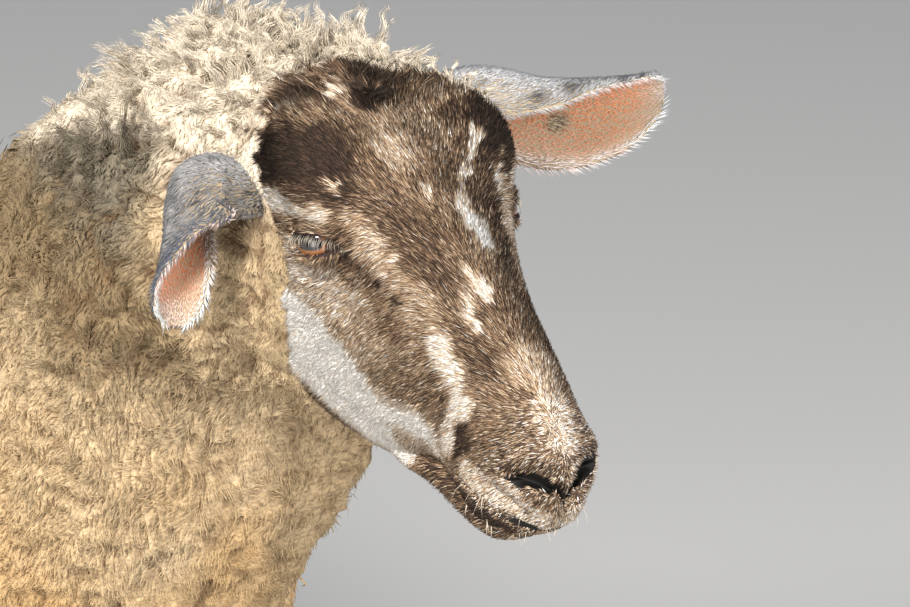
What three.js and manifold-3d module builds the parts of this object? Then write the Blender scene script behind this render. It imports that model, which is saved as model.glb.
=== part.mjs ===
// A hornless, brown-faced white ewe of a meat breed, at life size, standing square with her head raised and
// turned a little to her right. Units are millimetres: +X runs forwards from tail to nose, +Y to the animal's
// left and +Z up. The soles of her hooves are at Z = 0, and the origin is under the middle of her bounding box.
// The solids follow the outside of the coat.
import * as THREE from "three";
import { mergeVertices } from "three/addons/utils/BufferGeometryUtils.js";
import Module from "manifold-3d";

const wasm = await Module();
wasm.setup();

// Driving dimensions, measured on the animal before her neck is turned and before the origin is set.
const WITHERS = { x: 228, height: 780 }; // top of the fleece between the shoulders
const POLL = { x: 560, height: 926 }; // top of the head between the ears
const HEAD_PITCH = THREE.MathUtils.degToRad(31); // the line from poll to nose tip, below the horizontal
const NECK_TURN = THREE.MathUtils.degToRad(12.5); // how far the head is turned to her right
const NECK_TURN_FROM = 250; // X where the neck starts to turn
const NECK_TURN_TO = 500; // X where the head's own direction is reached
const EYEBALL = { x: 89, y: 45, z: -24, radius: 14 }; // centre in the head's frame, for either side
const FORELEG = { x: 228, y: 92 };
const HINDLEG = { x: -292, y: 96 };
const HOOF = { length: 64, height: 36, claw: 21, cleft: 4 };
const GAP = 0.4; // thin cut between one named part and the next
const FOOTPRINT = { x: 141.7, y: -0.2 }; // the middle of the bounding box, which becomes the origin

const SIDES = { left: 1, right: -1 };

const COAT = {
  fleece: new THREE.MeshStandardMaterial({ color: 0xd9c8a6, roughness: 0.95, metalness: 0 }),
  face: new THREE.MeshStandardMaterial({ color: 0x7b6654, roughness: 0.85, metalness: 0 }),
  jaw: new THREE.MeshStandardMaterial({ color: 0xd2ccc2, roughness: 0.85, metalness: 0 }),
  ear: new THREE.MeshStandardMaterial({ color: 0xc9b8b2, roughness: 0.8, metalness: 0 }),
  leg: new THREE.MeshStandardMaterial({ color: 0x8b7b6b, roughness: 0.85, metalness: 0 }),
};
const EYE = new THREE.MeshStandardMaterial({ color: 0x5a2f12, roughness: 0.08, metalness: 0 });
const HORN = new THREE.MeshStandardMaterial({ color: 0x3a332c, roughness: 0.5, metalness: 0 });

// ---------------------------------------------------------------- curves and closed shells

// A smooth curve through a column of stations: t = 0, 1, 2 ... at the rows, Catmull-Rom between them.
function along(values, t) {
  const last = values.length - 1;
  const i = Math.min(Math.max(Math.floor(t), 0), last - 1);
  const f = t - i;
  const at = (k) => values[Math.min(Math.max(k, 0), last)];
  const [a, b, c, d] = [at(i - 1), at(i), at(i + 1), at(i + 2)];
  return b + 0.5 * f * (c - a + f * (2 * a - 5 * b + 4 * c - d + f * (3 * (b - c) + d - a)));
}

// n + 1 evenly spaced values from a to b.
function steps(a, b, n) {
  return Array.from({ length: n + 1 }, (_, i) => a + ((b - a) * i) / n);
}

// A closed shell through rings of equally many points, with a fan of faces over each end, facing outwards.
function shell(rings) {
  const around = rings[0].length;
  const points = rings.flat();
  const centre = (ring) => ring.reduce((s, p) => s.add(p), new THREE.Vector3()).divideScalar(around);
  const ends = [points.length, points.length + 1];
  points.push(centre(rings[0]), centre(rings.at(-1)));
  const faces = [];
  const lastRing = (rings.length - 1) * around;
  for (let j = 0; j < around; j++) {
    const k = (j + 1) % around;
    for (let row = 0; row < lastRing; row += around) {
      faces.push([row + j, row + around + j, row + k], [row + k, row + around + j, row + around + k]);
    }
    faces.push([ends[0], j, k], [ends[1], lastRing + k, lastRing + j]);
  }
  const volume = faces.reduce((sum, [a, b, c]) => sum + points[a].dot(points[b].clone().cross(points[c])), 0);
  const index = faces.flatMap(([a, b, c]) => (volume < 0 ? [a, c, b] : [a, b, c]));
  return new THREE.BufferGeometry().setFromPoints(points).setIndex(index);
}

// manifold-3d solids from three.js geometry and back.
function solidOf(geometry) {
  const merged = mergeVertices(geometry, 1e-3);
  return new wasm.Manifold(
    new wasm.Mesh({
      numProp: 3,
      vertProperties: merged.attributes.position.array,
      triVerts: new Uint32Array(merged.index.array),
    }),
  );
}

function geometryOf(solid) {
  const mesh = solid.getMesh();
  return new THREE.BufferGeometry()
    .setAttribute("position", new THREE.BufferAttribute(new Float32Array(mesh.vertProperties), 3))
    .setIndex(new THREE.BufferAttribute(new Uint32Array(mesh.triVerts), 1));
}

// The biggest piece that is left of a solid once others are cut away.
function cut(geometry, ...others) {
  const left = others.reduce((solid, other) => solid.subtract(solidOf(other)), solidOf(geometry));
  return geometryOf(left.decompose().sort((a, b) => b.volume() - a.volume())[0]);
}

// ---------------------------------------------------------------- the animal's own frames

// The neck turns like a bent rod: slices across X swing about Z, faster and then slower, up to NECK_TURN.
function neckAngle(x) {
  return -NECK_TURN * THREE.MathUtils.smoothstep(x, NECK_TURN_FROM, NECK_TURN_TO);
}

function turned(point) {
  const from = Math.min(point.x, NECK_TURN_FROM);
  const slices = 16;
  const width = (point.x - from) / slices;
  const centre = { x: from, y: 0 };
  for (let i = 0; i < slices; i++) {
    const angle = neckAngle(from + (i + 0.5) * width);
    centre.x += width * Math.cos(angle);
    centre.y += width * Math.sin(angle);
  }
  const angle = neckAngle(point.x);
  return new THREE.Vector3(
    centre.x - point.y * Math.sin(angle),
    centre.y + point.y * Math.cos(angle),
    point.z,
  );
}

// Head frame: x along the profile from poll to nose, z up from that line, y to her left.
function fromHead(x, y, z) {
  const [c, s] = [Math.cos(HEAD_PITCH), Math.sin(HEAD_PITCH)];
  return new THREE.Vector3(POLL.x + x * c + z * s, y, POLL.height - x * s + z * c);
}

const onHead = (x, z) => {
  const p = fromHead(x, 0, z);
  return [p.x, p.z];
};

// ---------------------------------------------------------------- trunk, neck and head: one spine

// Stations from tail to nose. Each is an oval between a point on the top line and one on the under line.
// half is its greatest half width, level how far up it lies, and crown and keel how square the oval is above
// and below that level (2 is round).
const SPINE = [
  { name: "buttock end", top: [-440, 636], low: [-436, 536], half: 42, level: 0.5, crown: 2, keel: 2 },
  { name: "buttocks", top: [-424, 696], low: [-420, 440], half: 114, level: 0.5, crown: 2.1, keel: 2.1 },
  { name: "pin bones", top: [-382, 732], low: [-374, 378], half: 160, level: 0.5, crown: 2.2, keel: 2.2 },
  { name: "rump", top: [-290, 750], low: [-282, 342], half: 190, level: 0.52, crown: 2.3, keel: 2.2 },
  { name: "loin", top: [-165, 750], low: [-155, 322], half: 200, level: 0.52, crown: 2.3, keel: 2.1 },
  { name: "barrel", top: [-20, 744], low: [-10, 306], half: 210, level: 0.5, crown: 2.2, keel: 2.1 },
  { name: "girth", top: [115, 750], low: [120, 310], half: 196, level: 0.5, crown: 2.2, keel: 2.1 },
  { name: "withers", top: [WITHERS.x, WITHERS.height], low: [236, 330], half: 168, level: 0.46, crown: 2, keel: 2.1 },
  { name: "shoulder", top: [300, 832], low: [334, 392], half: 142, level: 0.42, crown: 1.9, keel: 2.1 },
  { name: "neck base", top: [360, 876], low: [374, 484], half: 105, level: 0.42, crown: 1.9, keel: 2 },
  { name: "lower neck", top: [412, 902], low: [424, 560], half: 97, level: 0.48, crown: 2, keel: 2.1 },
  { name: "mid neck", top: [458, 920], low: [452, 626], half: 104, level: 0.5, crown: 2, keel: 2.3 },
  { name: "nape", top: [500, 925], low: onHead(32, -200), half: 98, level: 0.55, crown: 2, keel: 2.3 },
  { name: "behind the ears", top: [536, 922], low: onHead(58, -186), half: 84, level: 0.6, crown: 2.1, keel: 2.2 },
  { name: "poll", top: onHead(8, 2), low: onHead(70, -166), half: 68, level: 0.7, crown: 2.3, keel: 2 },
  { name: "forehead", top: onHead(37, 11), low: onHead(90, -155), half: 62, level: 0.75, crown: 2.9, keel: 2 },
  { name: "brow", top: onHead(66, 15), low: onHead(108, -146), half: 57, level: 0.77, crown: 3, keel: 2 },
  { name: "eyes", top: onHead(92, 14), low: onHead(127, -135), half: 50, level: 0.74, crown: 2.5, keel: 2.1 },
  { name: "tear pits", top: onHead(120, 12), low: onHead(147, -123), half: 43, level: 0.66, crown: 2.1, keel: 2.3 },
  { name: "nasal bridge", top: onHead(150, 9), low: onHead(168, -108), half: 38, level: 0.55, crown: 1.9, keel: 2.2 },
  { name: "mouth corners", top: onHead(182, 5), low: onHead(189, -84), half: 34, level: 0.42, crown: 1.9, keel: 2.1 },
  { name: "upper lip", top: onHead(210, -2), low: onHead(213, -77), half: 32, level: 0.4, crown: 2, keel: 2.3 },
  { name: "nostrils", top: onHead(232, -11), low: onHead(232, -74), half: 30, level: 0.42, crown: 2.1, keel: 2.4 },
  { name: "nose tip", top: onHead(248, -21), low: onHead(247, -70), half: 24, level: 0.45, crown: 2.1, keel: 2.3 },
  { name: "lip front", top: onHead(258, -32), low: onHead(256, -60), half: 13, level: 0.5, crown: 2, keel: 2 },
];
const station = (name) => SPINE.findIndex((row) => row.name === name);
const NECK_CUT = station("neck base") - 0.3;
const HEAD_CUT = station("behind the ears") + 0.35;

// Height of the fleece's soft lumps at a place on the trunk and neck; the head has none.
function fleeceLump(t, angle) {
  const woolly = THREE.MathUtils.smoothstep(t, 0.5, 2) * (1 - THREE.MathUtils.smoothstep(t, 12, 13.4));
  const waves = Math.sin(3.1 * t + 2 * angle) + Math.sin(4.7 * t - 3 * angle + 1) + Math.sin(5 * angle + 1.9 * t);
  return 2.2 * woolly * waves;
}

// Swellings and hollows of the head, in its own frame: place, reach along each axis, and height in mm.
const HEAD_FORMS = [
  { name: "forehead corner", at: [48, 50, 10], reach: [34, 22, 18], height: 13 },
  { name: "brow ridge", at: [80, 59, -5], reach: [24, 16, 12], height: 6 },
  { name: "eye socket", at: [91, 57, -27], reach: [15, 12, 10], height: -4 },
  { name: "cheek", at: [76, 48, -100], reach: [34, 22, 32], height: 6 },
  { name: "cheekbone", at: [118, 48, -52], reach: [26, 14, 12], height: 4 },
  { name: "temple", at: [38, 60, -8], reach: [16, 14, 14], height: -3 },
  { name: "nostril wing", at: [236, 22, -30], reach: [14, 10, 9], height: 4 },
  { name: "nostril", at: [241, 22, -43], reach: [12, 12, 5], height: -6 },
  { name: "lip cushion", at: [232, 26, -62], reach: [20, 14, 12], height: 3 },
];

// How far the forms lift a point of the head along its outward direction.
function headLift(x, y, z) {
  return HEAD_FORMS.reduce((sum, { at, reach, height }) => {
    const far = ((x - at[0]) / reach[0]) ** 2 + ((Math.abs(y) - at[1]) / reach[1]) ** 2 + ((z - at[2]) / reach[2]) ** 2;
    return sum + height * Math.exp(-far);
  }, 0);
}

// The same point in the head's frame, for a point before the neck is turned.
function toHead(p) {
  const [c, s] = [Math.cos(HEAD_PITCH), Math.sin(HEAD_PITCH)];
  const [dx, dz] = [p.x - POLL.x, p.z - POLL.height];
  return [dx * c - dz * s, p.y, dx * s + dz * c];
}

// One ring of the spine at station t: angle 0 is the top line, and the ring runs round her left side.
function spineRing(t, around, grow = 0) {
  const value = (pick) => along(SPINE.map(pick), t);
  const top = new THREE.Vector3(value((r) => r.top[0]), 0, value((r) => r.top[1]));
  const low = new THREE.Vector3(value((r) => r.low[0]), 0, value((r) => r.low[1]));
  const [half, level] = [value((r) => r.half), value((r) => r.level)];
  const [crown, keel] = [value((r) => r.crown), value((r) => r.keel)];
  const rise = top.distanceTo(low);
  const up = top.clone().sub(low).divideScalar(rise);
  return steps(0, 2 * Math.PI, around)
    .slice(0, -1)
    .map((angle) => {
      const [s, c] = [Math.sin(angle), Math.cos(angle)];
      const power = 2 / (c > 0 ? crown : keel);
      const across = half * Math.sign(s) * Math.abs(s) ** power;
      const reach = c > 0 ? (1 - level) * rise : level * rise;
      const height = level * rise + reach * Math.sign(c) * Math.abs(c) ** power;
      const p = low.clone().addScaledVector(up, height).setY(across);
      const out = up.clone().multiplyScalar(c * half).setY(s * rise * 0.5).normalize();
      const lift = grow + fleeceLump(t, angle) + headLift(...toHead(p));
      return turned(p.addScaledVector(out, lift));
    });
}

function spinePart(from, to, rings, around, grow = 0) {
  return shell(steps(from, to, rings).map((t) => spineRing(t, around, grow)));
}

// ---------------------------------------------------------------- lower jaw

// Stations of the lower jaw in the head's frame: x, upper and lower edge, half width.
const JAW = [
  { x: 140, top: -90, low: -121, half: 20 },
  { x: 166, top: -82, low: -113, half: 24 },
  { x: 192, top: -75, low: -99, half: 23 },
  { x: 217, top: -70, low: -92, half: 22 },
  { x: 235, top: -68, low: -86, half: 18 },
  { x: 244, top: -67, low: -78, half: 10 },
];

function jawRing(t, around) {
  const value = (key) => along(JAW.map((row) => row[key]), t);
  const [x, top, low, half] = [value("x"), value("top"), value("low"), value("half")];
  return steps(0, 2 * Math.PI, around)
    .slice(0, -1)
    .map((a) => turned(fromHead(x, half * Math.sin(a), (top + low) / 2 + ((top - low) / 2) * Math.cos(a))));
}

// ---------------------------------------------------------------- ears

// Each ear is a leaf rolled about its midrib. The midrib runs through these places in the head's frame (y is
// outwards), opening is the way its hollow faces, width the leaf's half width and roll its half angle.
const EARS = {
  left: [
    { at: [15, 46, -10], opening: [0.72, -0.1, -0.68], width: 24, roll: 1.6 },
    { at: [17, 74, -6], opening: [0.74, -0.1, -0.66], width: 40, roll: 1.5 },
    { at: [24, 101, -16], opening: [0.9, -0.11, -0.38], width: 43, roll: 1.3 },
    { at: [32, 125, -22], opening: [0.98, -0.1, -0.08], width: 40, roll: 1.15 },
    { at: [37, 149, -23], opening: [0.97, -0.09, 0.1], width: 31, roll: 1.1 },
    { at: [38, 168, -22], opening: [0.93, -0.09, 0.25], width: 18, roll: 1 },
    { at: [38, 177, -20], opening: [0.9, -0.09, 0.3], width: 6, roll: 0.6 },
  ],
  right: [
    { at: [36, 42, -38], opening: [0.5, -0.45, -0.74], width: 22, roll: 1.6 },
    { at: [31, 58, -31], opening: [0.52, -0.45, -0.72], width: 30, roll: 1.6 },
    { at: [25, 74, -28], opening: [0.54, -0.5, -0.67], width: 36, roll: 1.6 },
    { at: [25, 88, -34], opening: [0.52, -0.68, -0.5], width: 38, roll: 1.6 },
    { at: [33, 96, -48], opening: [0.5, -0.85, -0.1], width: 34, roll: 1.5 },
    { at: [44, 98, -61], opening: [0.68, -0.6, 0.42], width: 25, roll: 1.3 },
    { at: [55, 97, -74], opening: [0.68, 0.02, 0.73], width: 18, roll: 1 },
    { at: [63, 97, -86], opening: [0.64, 0.25, 0.73], width: 13, roll: 0.85 },
    { at: [67, 98, -94], opening: [0.6, 0.33, 0.73], width: 5, roll: 0.6 },
  ],
};
const EAR_THICKNESS = 3.4;

function earRing(rows, side, t, across) {
  const vector = (key, at) => new THREE.Vector3(...[0, 1, 2].map((i) => along(rows.map((r) => r[key][i]), at)));
  const value = (key) => along(rows.map((r) => r[key]), t);
  const midrib = vector("at", t);
  const tangent = vector("at", t + 0.05).sub(vector("at", t - 0.05)).normalize();
  const open = vector("opening", t);
  open.addScaledVector(tangent, -open.dot(tangent)).normalize();
  const wide = new THREE.Vector3().crossVectors(tangent, open);
  const [width, roll] = [value("width"), value("roll")];
  const bend = width / roll;
  const leaf = (q, depth) => {
    const angle = q * roll;
    return midrib
      .clone()
      .addScaledVector(wide, (bend - depth) * Math.sin(angle))
      .addScaledVector(open, bend - (bend - depth) * Math.cos(angle));
  };
  const half = EAR_THICKNESS / 2;
  const outer = steps(-1, 1, across).map((q) => leaf(q, -half * Math.sqrt(1.15 - q * q)));
  const inner = steps(1, -1, across).map((q) => leaf(q, half * Math.sqrt(1.15 - q * q)));
  return [...outer, ...inner].map((p) => turned(fromHead(p.x, side * p.y, p.z)));
}

function ear(sideName, rings, across) {
  const rows = EARS[sideName];
  return shell(steps(0, rows.length - 1, rings).map((t) => earRing(rows, SIDES[sideName], t, across)));
}

// ---------------------------------------------------------------- eyes

function eye(side, grow = 0) {
  const ball = new THREE.SphereGeometry(EYEBALL.radius + grow, 14, 9);
  ball.deleteAttribute("normal");
  ball.deleteAttribute("uv");
  const at = turned(fromHead(EYEBALL.x, side * EYEBALL.y, EYEBALL.z));
  return mergeVertices(ball, 1e-3).translate(at.x, at.y, at.z);
}

// ---------------------------------------------------------------- legs

// Stations of each leg from the trunk down: height, how far the leg's axis lies before FORELEG.x or
// HINDLEG.x, and its half length and half width. named says where each part starts.
const LEGS = {
  foreleg: [
    { z: 452, x: 0, long: 84, wide: 52, named: "arm" },
    { z: 400, x: -6, long: 78, wide: 50 },
    { z: 350, x: -8, long: 62, wide: 44 },
    { z: 305, x: -2, long: 45, wide: 36 },
    { z: 262, x: 3, long: 33, wide: 29 },
    { z: 232, x: 6, long: 26, wide: 24 },
    { z: 206, x: 8, long: 25, wide: 23, named: "cannon" },
    { z: 180, x: 5, long: 19, wide: 17 },
    { z: 135, x: 2, long: 15, wide: 13 },
    { z: 100, x: 1, long: 16, wide: 14.5 },
    { z: 78, x: 2, long: 21, wide: 20, named: "foot" },
    { z: 58, x: 9, long: 18, wide: 19 },
    { z: HOOF.height + GAP, x: 18, long: 22, wide: 22 },
  ],
  hindleg: [
    { z: 500, x: 34, long: 118, wide: 62, named: "thigh" },
    { z: 440, x: 24, long: 116, wide: 62 },
    { z: 380, x: 6, long: 92, wide: 54 },
    { z: 330, x: -16, long: 62, wide: 42 },
    { z: 290, x: -36, long: 42, wide: 31 },
    { z: 256, x: -50, long: 34, wide: 24 },
    { z: 230, x: -56, long: 27, wide: 21, named: "cannon" },
    { z: 195, x: -50, long: 20, wide: 17 },
    { z: 140, x: -40, long: 16, wide: 14 },
    { z: 102, x: -33, long: 17, wide: 15 },
    { z: 80, x: -30, long: 22, wide: 20, named: "foot" },
    { z: 59, x: -22, long: 18, wide: 19 },
    { z: HOOF.height + GAP, x: -14, long: 22, wide: 22 },
  ],
};

function legRing(rows, foot, side, t, around) {
  const value = (key) => along(rows.map((row) => row[key]), t);
  const [x, z, long, wide] = [value("x"), value("z"), value("long"), value("wide")];
  return steps(0, 2 * Math.PI, around)
    .slice(0, -1)
    .map((a) => new THREE.Vector3(foot.x + x + long * Math.cos(a), side * foot.y + wide * Math.sin(a), z));
}

// A leg ring that stands off by the thin cut, for parts that lie against the leg.
function grownRing(rows, foot, side, t) {
  const ring = legRing(rows, foot, side, t, 14);
  const centre = ring.reduce((s, p) => s.add(p), new THREE.Vector3()).divideScalar(ring.length);
  return ring.map((p) => p.clone().addScaledVector(p.clone().sub(centre).normalize(), GAP));
}

function legPart(rows, foot, side, from, to) {
  const rings = Math.round((to - from) * 1.5);
  return shell(steps(from, to, rings).map((t) => legRing(rows, foot, side, t, 14)));
}

// ---------------------------------------------------------------- hooves

// One claw of a cloven hoof: flat below and on the side that faces the cleft, with a sloping, rounded toe.
// Each level gives its height, how far the toe and heel lie behind toeX, and its width.
function claw(toeX, y, outwards) {
  const levels = [
    { z: 0, toe: 1, heel: HOOF.length - 1, wide: HOOF.claw - 1 },
    { z: 3, toe: 0, heel: HOOF.length, wide: HOOF.claw },
    { z: 18, toe: 9, heel: HOOF.length - 2, wide: HOOF.claw },
    { z: HOOF.height, toe: 22, heel: HOOF.length - 4, wide: HOOF.claw - 1 },
  ];
  const outline = ({ z, toe, heel, wide }) =>
    steps(0, Math.PI, 10).map((a) => {
      const x = toeX - (toe + heel) / 2 + ((heel - toe) / 2) * Math.cos(a);
      return new THREE.Vector3(x, y + outwards * wide * Math.max(Math.sin(a), 0) ** 0.7, z);
    });
  return shell(levels.map(outline));
}

// A dewclaw: a small horny bean behind the fetlock.
function dewclaw(x, y, z) {
  const bean = new THREE.SphereGeometry(1, 7, 4).scale(9, 6, 9);
  bean.deleteAttribute("normal");
  bean.deleteAttribute("uv");
  return mergeVertices(bean, 1e-3).translate(x, y, z);
}

// ---------------------------------------------------------------- tail

// The tail hangs over the buttocks: height, x and half width of each ring.
const TAIL = [
  { z: 664, x: -418, half: 24 },
  { z: 630, x: -440, half: 31 },
  { z: 580, x: -452, half: 30 },
  { z: 530, x: -452, half: 27 },
  { z: 492, x: -447, half: 20 },
  { z: 476, x: -445, half: 8 },
];

function tail() {
  return shell(
    steps(0, TAIL.length - 1, 8).map((t) => {
      const value = (key) => along(TAIL.map((row) => row[key]), t);
      const [x, z, half] = [value("x"), value("z"), value("half")];
      return steps(0, 2 * Math.PI, 12)
        .slice(0, -1)
        .map((a) => new THREE.Vector3(x + 0.7 * half * Math.cos(a), half * Math.sin(a), z));
    }),
  );
}

// ---------------------------------------------------------------- the whole ewe

const ewe = new THREE.Group();
ewe.position.set(-FOOTPRINT.x, -FOOTPRINT.y, 0);

function add(name, geometry, material) {
  const mesh = new THREE.Mesh(geometry, material);
  mesh.name = name;
  ewe.add(mesh);
}

const LAST = SPINE.length - 1;
const AROUND = 30; // points on each ring of the spine
const SEAM = 0.006; // half of a thin cut across the spine, in stations
const trunk = (grow) => spinePart(0, NECK_CUT - SEAM, 19, AROUND, grow);
const neck = spinePart(NECK_CUT + SEAM, HEAD_CUT - SEAM, 9, AROUND);
const headWhole = (grow) => spinePart(HEAD_CUT + SEAM, LAST, 27, AROUND, grow);
const head = cut(headWhole(0), eye(SIDES.left, GAP), eye(SIDES.right, GAP));
const grownHead = headWhole(GAP);
const grownNeck = spinePart(NECK_CUT, HEAD_CUT, 9, AROUND, GAP);

add("trunk", trunk(0), COAT.fleece);
add("neck", neck, COAT.fleece);
add("head", head, COAT.face);
add("lower_jaw", cut(shell(steps(0, JAW.length - 1, 8).map((t) => jawRing(t, 14))), grownHead), COAT.jaw);
add("tail", cut(tail(), trunk(GAP).translate(-2 * GAP, 0, 0)), COAT.fleece);

for (const [sideName, side] of Object.entries(SIDES)) {
  add("eye_" + sideName, eye(side), EYE);
  add("ear_" + sideName, cut(ear(sideName, 13, 7), grownHead, grownNeck), COAT.ear);
}

for (const [legName, rows] of Object.entries(LEGS)) {
  const foot = legName === "foreleg" ? FORELEG : HINDLEG;
  const starts = rows.map((row, t) => ({ t, named: row.named })).filter((row) => row.named);
  for (const [sideName, side] of Object.entries(SIDES)) {
    const leg = legName + "_" + sideName;
    starts.forEach(({ t, named }, i) => {
      const end = i + 1 < starts.length ? starts[i + 1].t - 2 * SEAM : rows.length - 1;
      const part = legPart(rows, foot, side, t, end);
      add(leg + "_" + named, i === 0 ? cut(part, trunk(GAP)) : part, i === 0 ? COAT.fleece : COAT.leg);
    });
    const fetlock = rows.at(-3);
    const grownLeg = shell(steps(starts[1].t, rows.length - 1, 12).map((t) => grownRing(rows, foot, side, t)));
    const toe = foot.x + rows.at(-1).x + HOOF.length * 0.62;
    for (const [clawName, out] of [["inner", -1], ["outer", 1]]) {
      const cleftSide = side * (foot.y + (out * HOOF.cleft) / 2);
      add(leg + "_claw_" + clawName, claw(toe, cleftSide, side * out), HORN);
      add(
        leg + "_dewclaw_" + clawName,
        cut(dewclaw(foot.x + fetlock.x - fetlock.long, side * (foot.y + out * 11), fetlock.z - 8), grownLeg),
        HORN,
      );
    }
  }
}

export default ewe;
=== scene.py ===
"""A standing ewe with a mottled face, as a life-size museum model."""

import bpy
import numpy as np
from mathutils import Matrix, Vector


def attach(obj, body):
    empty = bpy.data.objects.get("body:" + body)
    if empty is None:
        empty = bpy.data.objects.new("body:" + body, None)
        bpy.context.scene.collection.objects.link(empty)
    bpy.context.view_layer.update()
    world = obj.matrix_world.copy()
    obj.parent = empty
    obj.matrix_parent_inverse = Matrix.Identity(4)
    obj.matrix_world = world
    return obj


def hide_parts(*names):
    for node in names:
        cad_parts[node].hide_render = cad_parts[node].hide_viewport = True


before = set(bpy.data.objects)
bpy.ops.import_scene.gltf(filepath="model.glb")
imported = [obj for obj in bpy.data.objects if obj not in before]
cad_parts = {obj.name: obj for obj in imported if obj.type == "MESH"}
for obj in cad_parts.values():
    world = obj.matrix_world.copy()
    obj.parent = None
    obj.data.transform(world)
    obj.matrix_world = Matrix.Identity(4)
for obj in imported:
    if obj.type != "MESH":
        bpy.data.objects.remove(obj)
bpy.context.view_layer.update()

# ------------------------------------------------------------------ camera
# A long lens stands level with her withers, in front of her right shoulder,
# and looks a little down at the head, which fills most of the view.

CAMERA_AIM = Vector((0.5172, -0.0616, 0.8312))
CAMERA_AZIMUTH = np.radians(45)
CAMERA_ELEVATION = np.radians(19)
CAMERA_DISTANCE = 2.2
CAMERA_LENS = 183.9

back = Vector((
    np.sin(CAMERA_AZIMUTH) * np.cos(CAMERA_ELEVATION),
    -np.cos(CAMERA_AZIMUTH) * np.cos(CAMERA_ELEVATION),
    np.sin(CAMERA_ELEVATION),
))
camera = bpy.data.objects.new("camera", bpy.data.cameras.new("camera"))
camera.data.lens = CAMERA_LENS
camera.data.sensor_width = 36
camera.data.clip_end = 60
camera.location = CAMERA_AIM + back * CAMERA_DISTANCE
camera.rotation_euler = back.to_track_quat("Z", "Y").to_euler()
bpy.context.scene.collection.objects.link(camera)
bpy.context.scene.camera = camera
bpy.context.scene.view_settings.view_transform = "Standard"

# -------------------------------------------------------------------- form
# The ewe's form, which hide, hair and wool all share: rings from buttocks to
# lips, then jaw, ears, legs and tail. Lengths here are in millimetres.

MILLIMETRE = 0.001
FOOTPRINT = np.array((141.7, -0.2, 0))
POLL = np.array((560.0, 0.0, 926.0))
HEAD_PITCH = np.radians(31)
NECK_TURN = np.radians(12.5)
TURN_FROM = 250
TURN_TO = 500
TURN_STEPS = 16
FORWARD = np.array((np.cos(HEAD_PITCH), 0, -np.sin(HEAD_PITCH)))
LEFT = np.array((0.0, 1.0, 0.0))
UPWARD = np.array((np.sin(HEAD_PITCH), 0, np.cos(HEAD_PITCH)))
HEAD_AXES = np.stack((FORWARD, LEFT, UPWARD))


def smooth(x, low, high):
    """Goes from 0 at low to 1 at high along three t squared less two t cubed."""
    t = np.clip((x - low) / (high - low), 0, 1)
    return t * t * (3 - 2 * t)


def unit(vectors):
    """Each vector divided by its length."""
    return vectors / np.maximum(np.linalg.norm(vectors, axis=-1, keepdims=True), 1e-9)


def on_head(forward, up):
    """The midline point that lies so far forward of the poll and above it, along the head's own axes."""
    point = POLL + forward * FORWARD + up * UPWARD
    return point[0], point[2]


def along(rows, t):
    """Values at station t between rows, on the curve that passes every row and
    leaves each one in line with its two neighbours (Catmull-Rom, ends held)."""
    rows = np.asarray(rows, float)
    step = np.clip(np.floor(t).astype(int), 0, len(rows) - 2)
    f = (t - step)[..., None]
    a, b, c, d = (rows[np.clip(step + k, 0, len(rows) - 1)] for k in (-1, 0, 1, 2))
    return b + 0.5 * f * (c - a + f * (2 * a - 5 * b + 4 * c - d + f * (3 * (b - c) + d - a)))


# top of ring, foot of ring, half width, height of the widest level, roundness above and below it
SPINE = [
    (-440, 636), (-436, 536), 42, 0.50, 2.0, 2.0,
    (-424, 696), (-420, 440), 114, 0.50, 2.1, 2.1,
    (-382, 732), (-374, 378), 160, 0.50, 2.2, 2.2,
    (-290, 750), (-282, 342), 190, 0.52, 2.3, 2.2,
    (-165, 750), (-155, 322), 200, 0.52, 2.3, 2.1,
    (-20, 744), (-10, 306), 210, 0.50, 2.2, 2.1,
    (115, 750), (120, 310), 196, 0.50, 2.2, 2.1,
    (228, 780), (236, 330), 168, 0.46, 2.0, 2.1,
    (300, 832), (334, 392), 142, 0.42, 1.9, 2.1,
    (360, 876), (374, 484), 105, 0.42, 1.9, 2.0,
    (412, 902), (424, 560), 97, 0.48, 2.0, 2.1,
    (458, 920), (452, 626), 104, 0.50, 2.0, 2.3,
    (500, 925), on_head(32, -200), 98, 0.55, 2.0, 2.3,
    (536, 922), on_head(58, -186), 84, 0.60, 2.1, 2.2,
    on_head(8, 2), on_head(70, -166), 68, 0.70, 2.3, 2.0,
    on_head(37, 11), on_head(90, -155), 62, 0.75, 2.9, 2.0,
    on_head(66, 15), on_head(108, -146), 57, 0.77, 3.0, 2.0,
    on_head(92, 14), on_head(127, -135), 50, 0.74, 2.5, 2.1,
    on_head(120, 12), on_head(147, -123), 43, 0.66, 2.1, 2.3,
    on_head(150, 9), on_head(168, -108), 38, 0.55, 1.9, 2.2,
    on_head(182, 5), on_head(189, -84), 34, 0.42, 1.9, 2.1,
    on_head(210, -2), on_head(213, -77), 32, 0.40, 2.0, 2.3,
    on_head(232, -11), on_head(232, -74), 30, 0.42, 2.1, 2.4,
    on_head(248, -21), on_head(247, -70), 24, 0.45, 2.1, 2.3,
    on_head(258, -32), on_head(256, -60), 13, 0.50, 2.0, 2.0,
]
SPINE = np.array([np.hstack(SPINE[row:row + 6]) for row in range(0, len(SPINE), 6)])
NAPE = 12
LIP_FRONT = len(SPINE) - 1
FLEECE_WAVE = 2.2

# centre, reach and height of each swelling of the head, in head axes, the same on both sides
SWELLINGS = [
    ((48, 50, 10), (34, 22, 18), 13),
    ((80, 59, -5), (24, 16, 12), 6),
    ((91, 57, -27), (15, 12, 10), -4),
    ((76, 48, -100), (34, 22, 32), 6),
    ((118, 48, -52), (26, 14, 12), 4),
    ((38, 60, -8), (16, 14, 14), -3),
    ((236, 22, -30), (14, 10, 9), 4),
    ((241, 22, -43), (12, 12, 5), -6),
    ((232, 26, -62), (20, 14, 12), 3),
]


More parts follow.
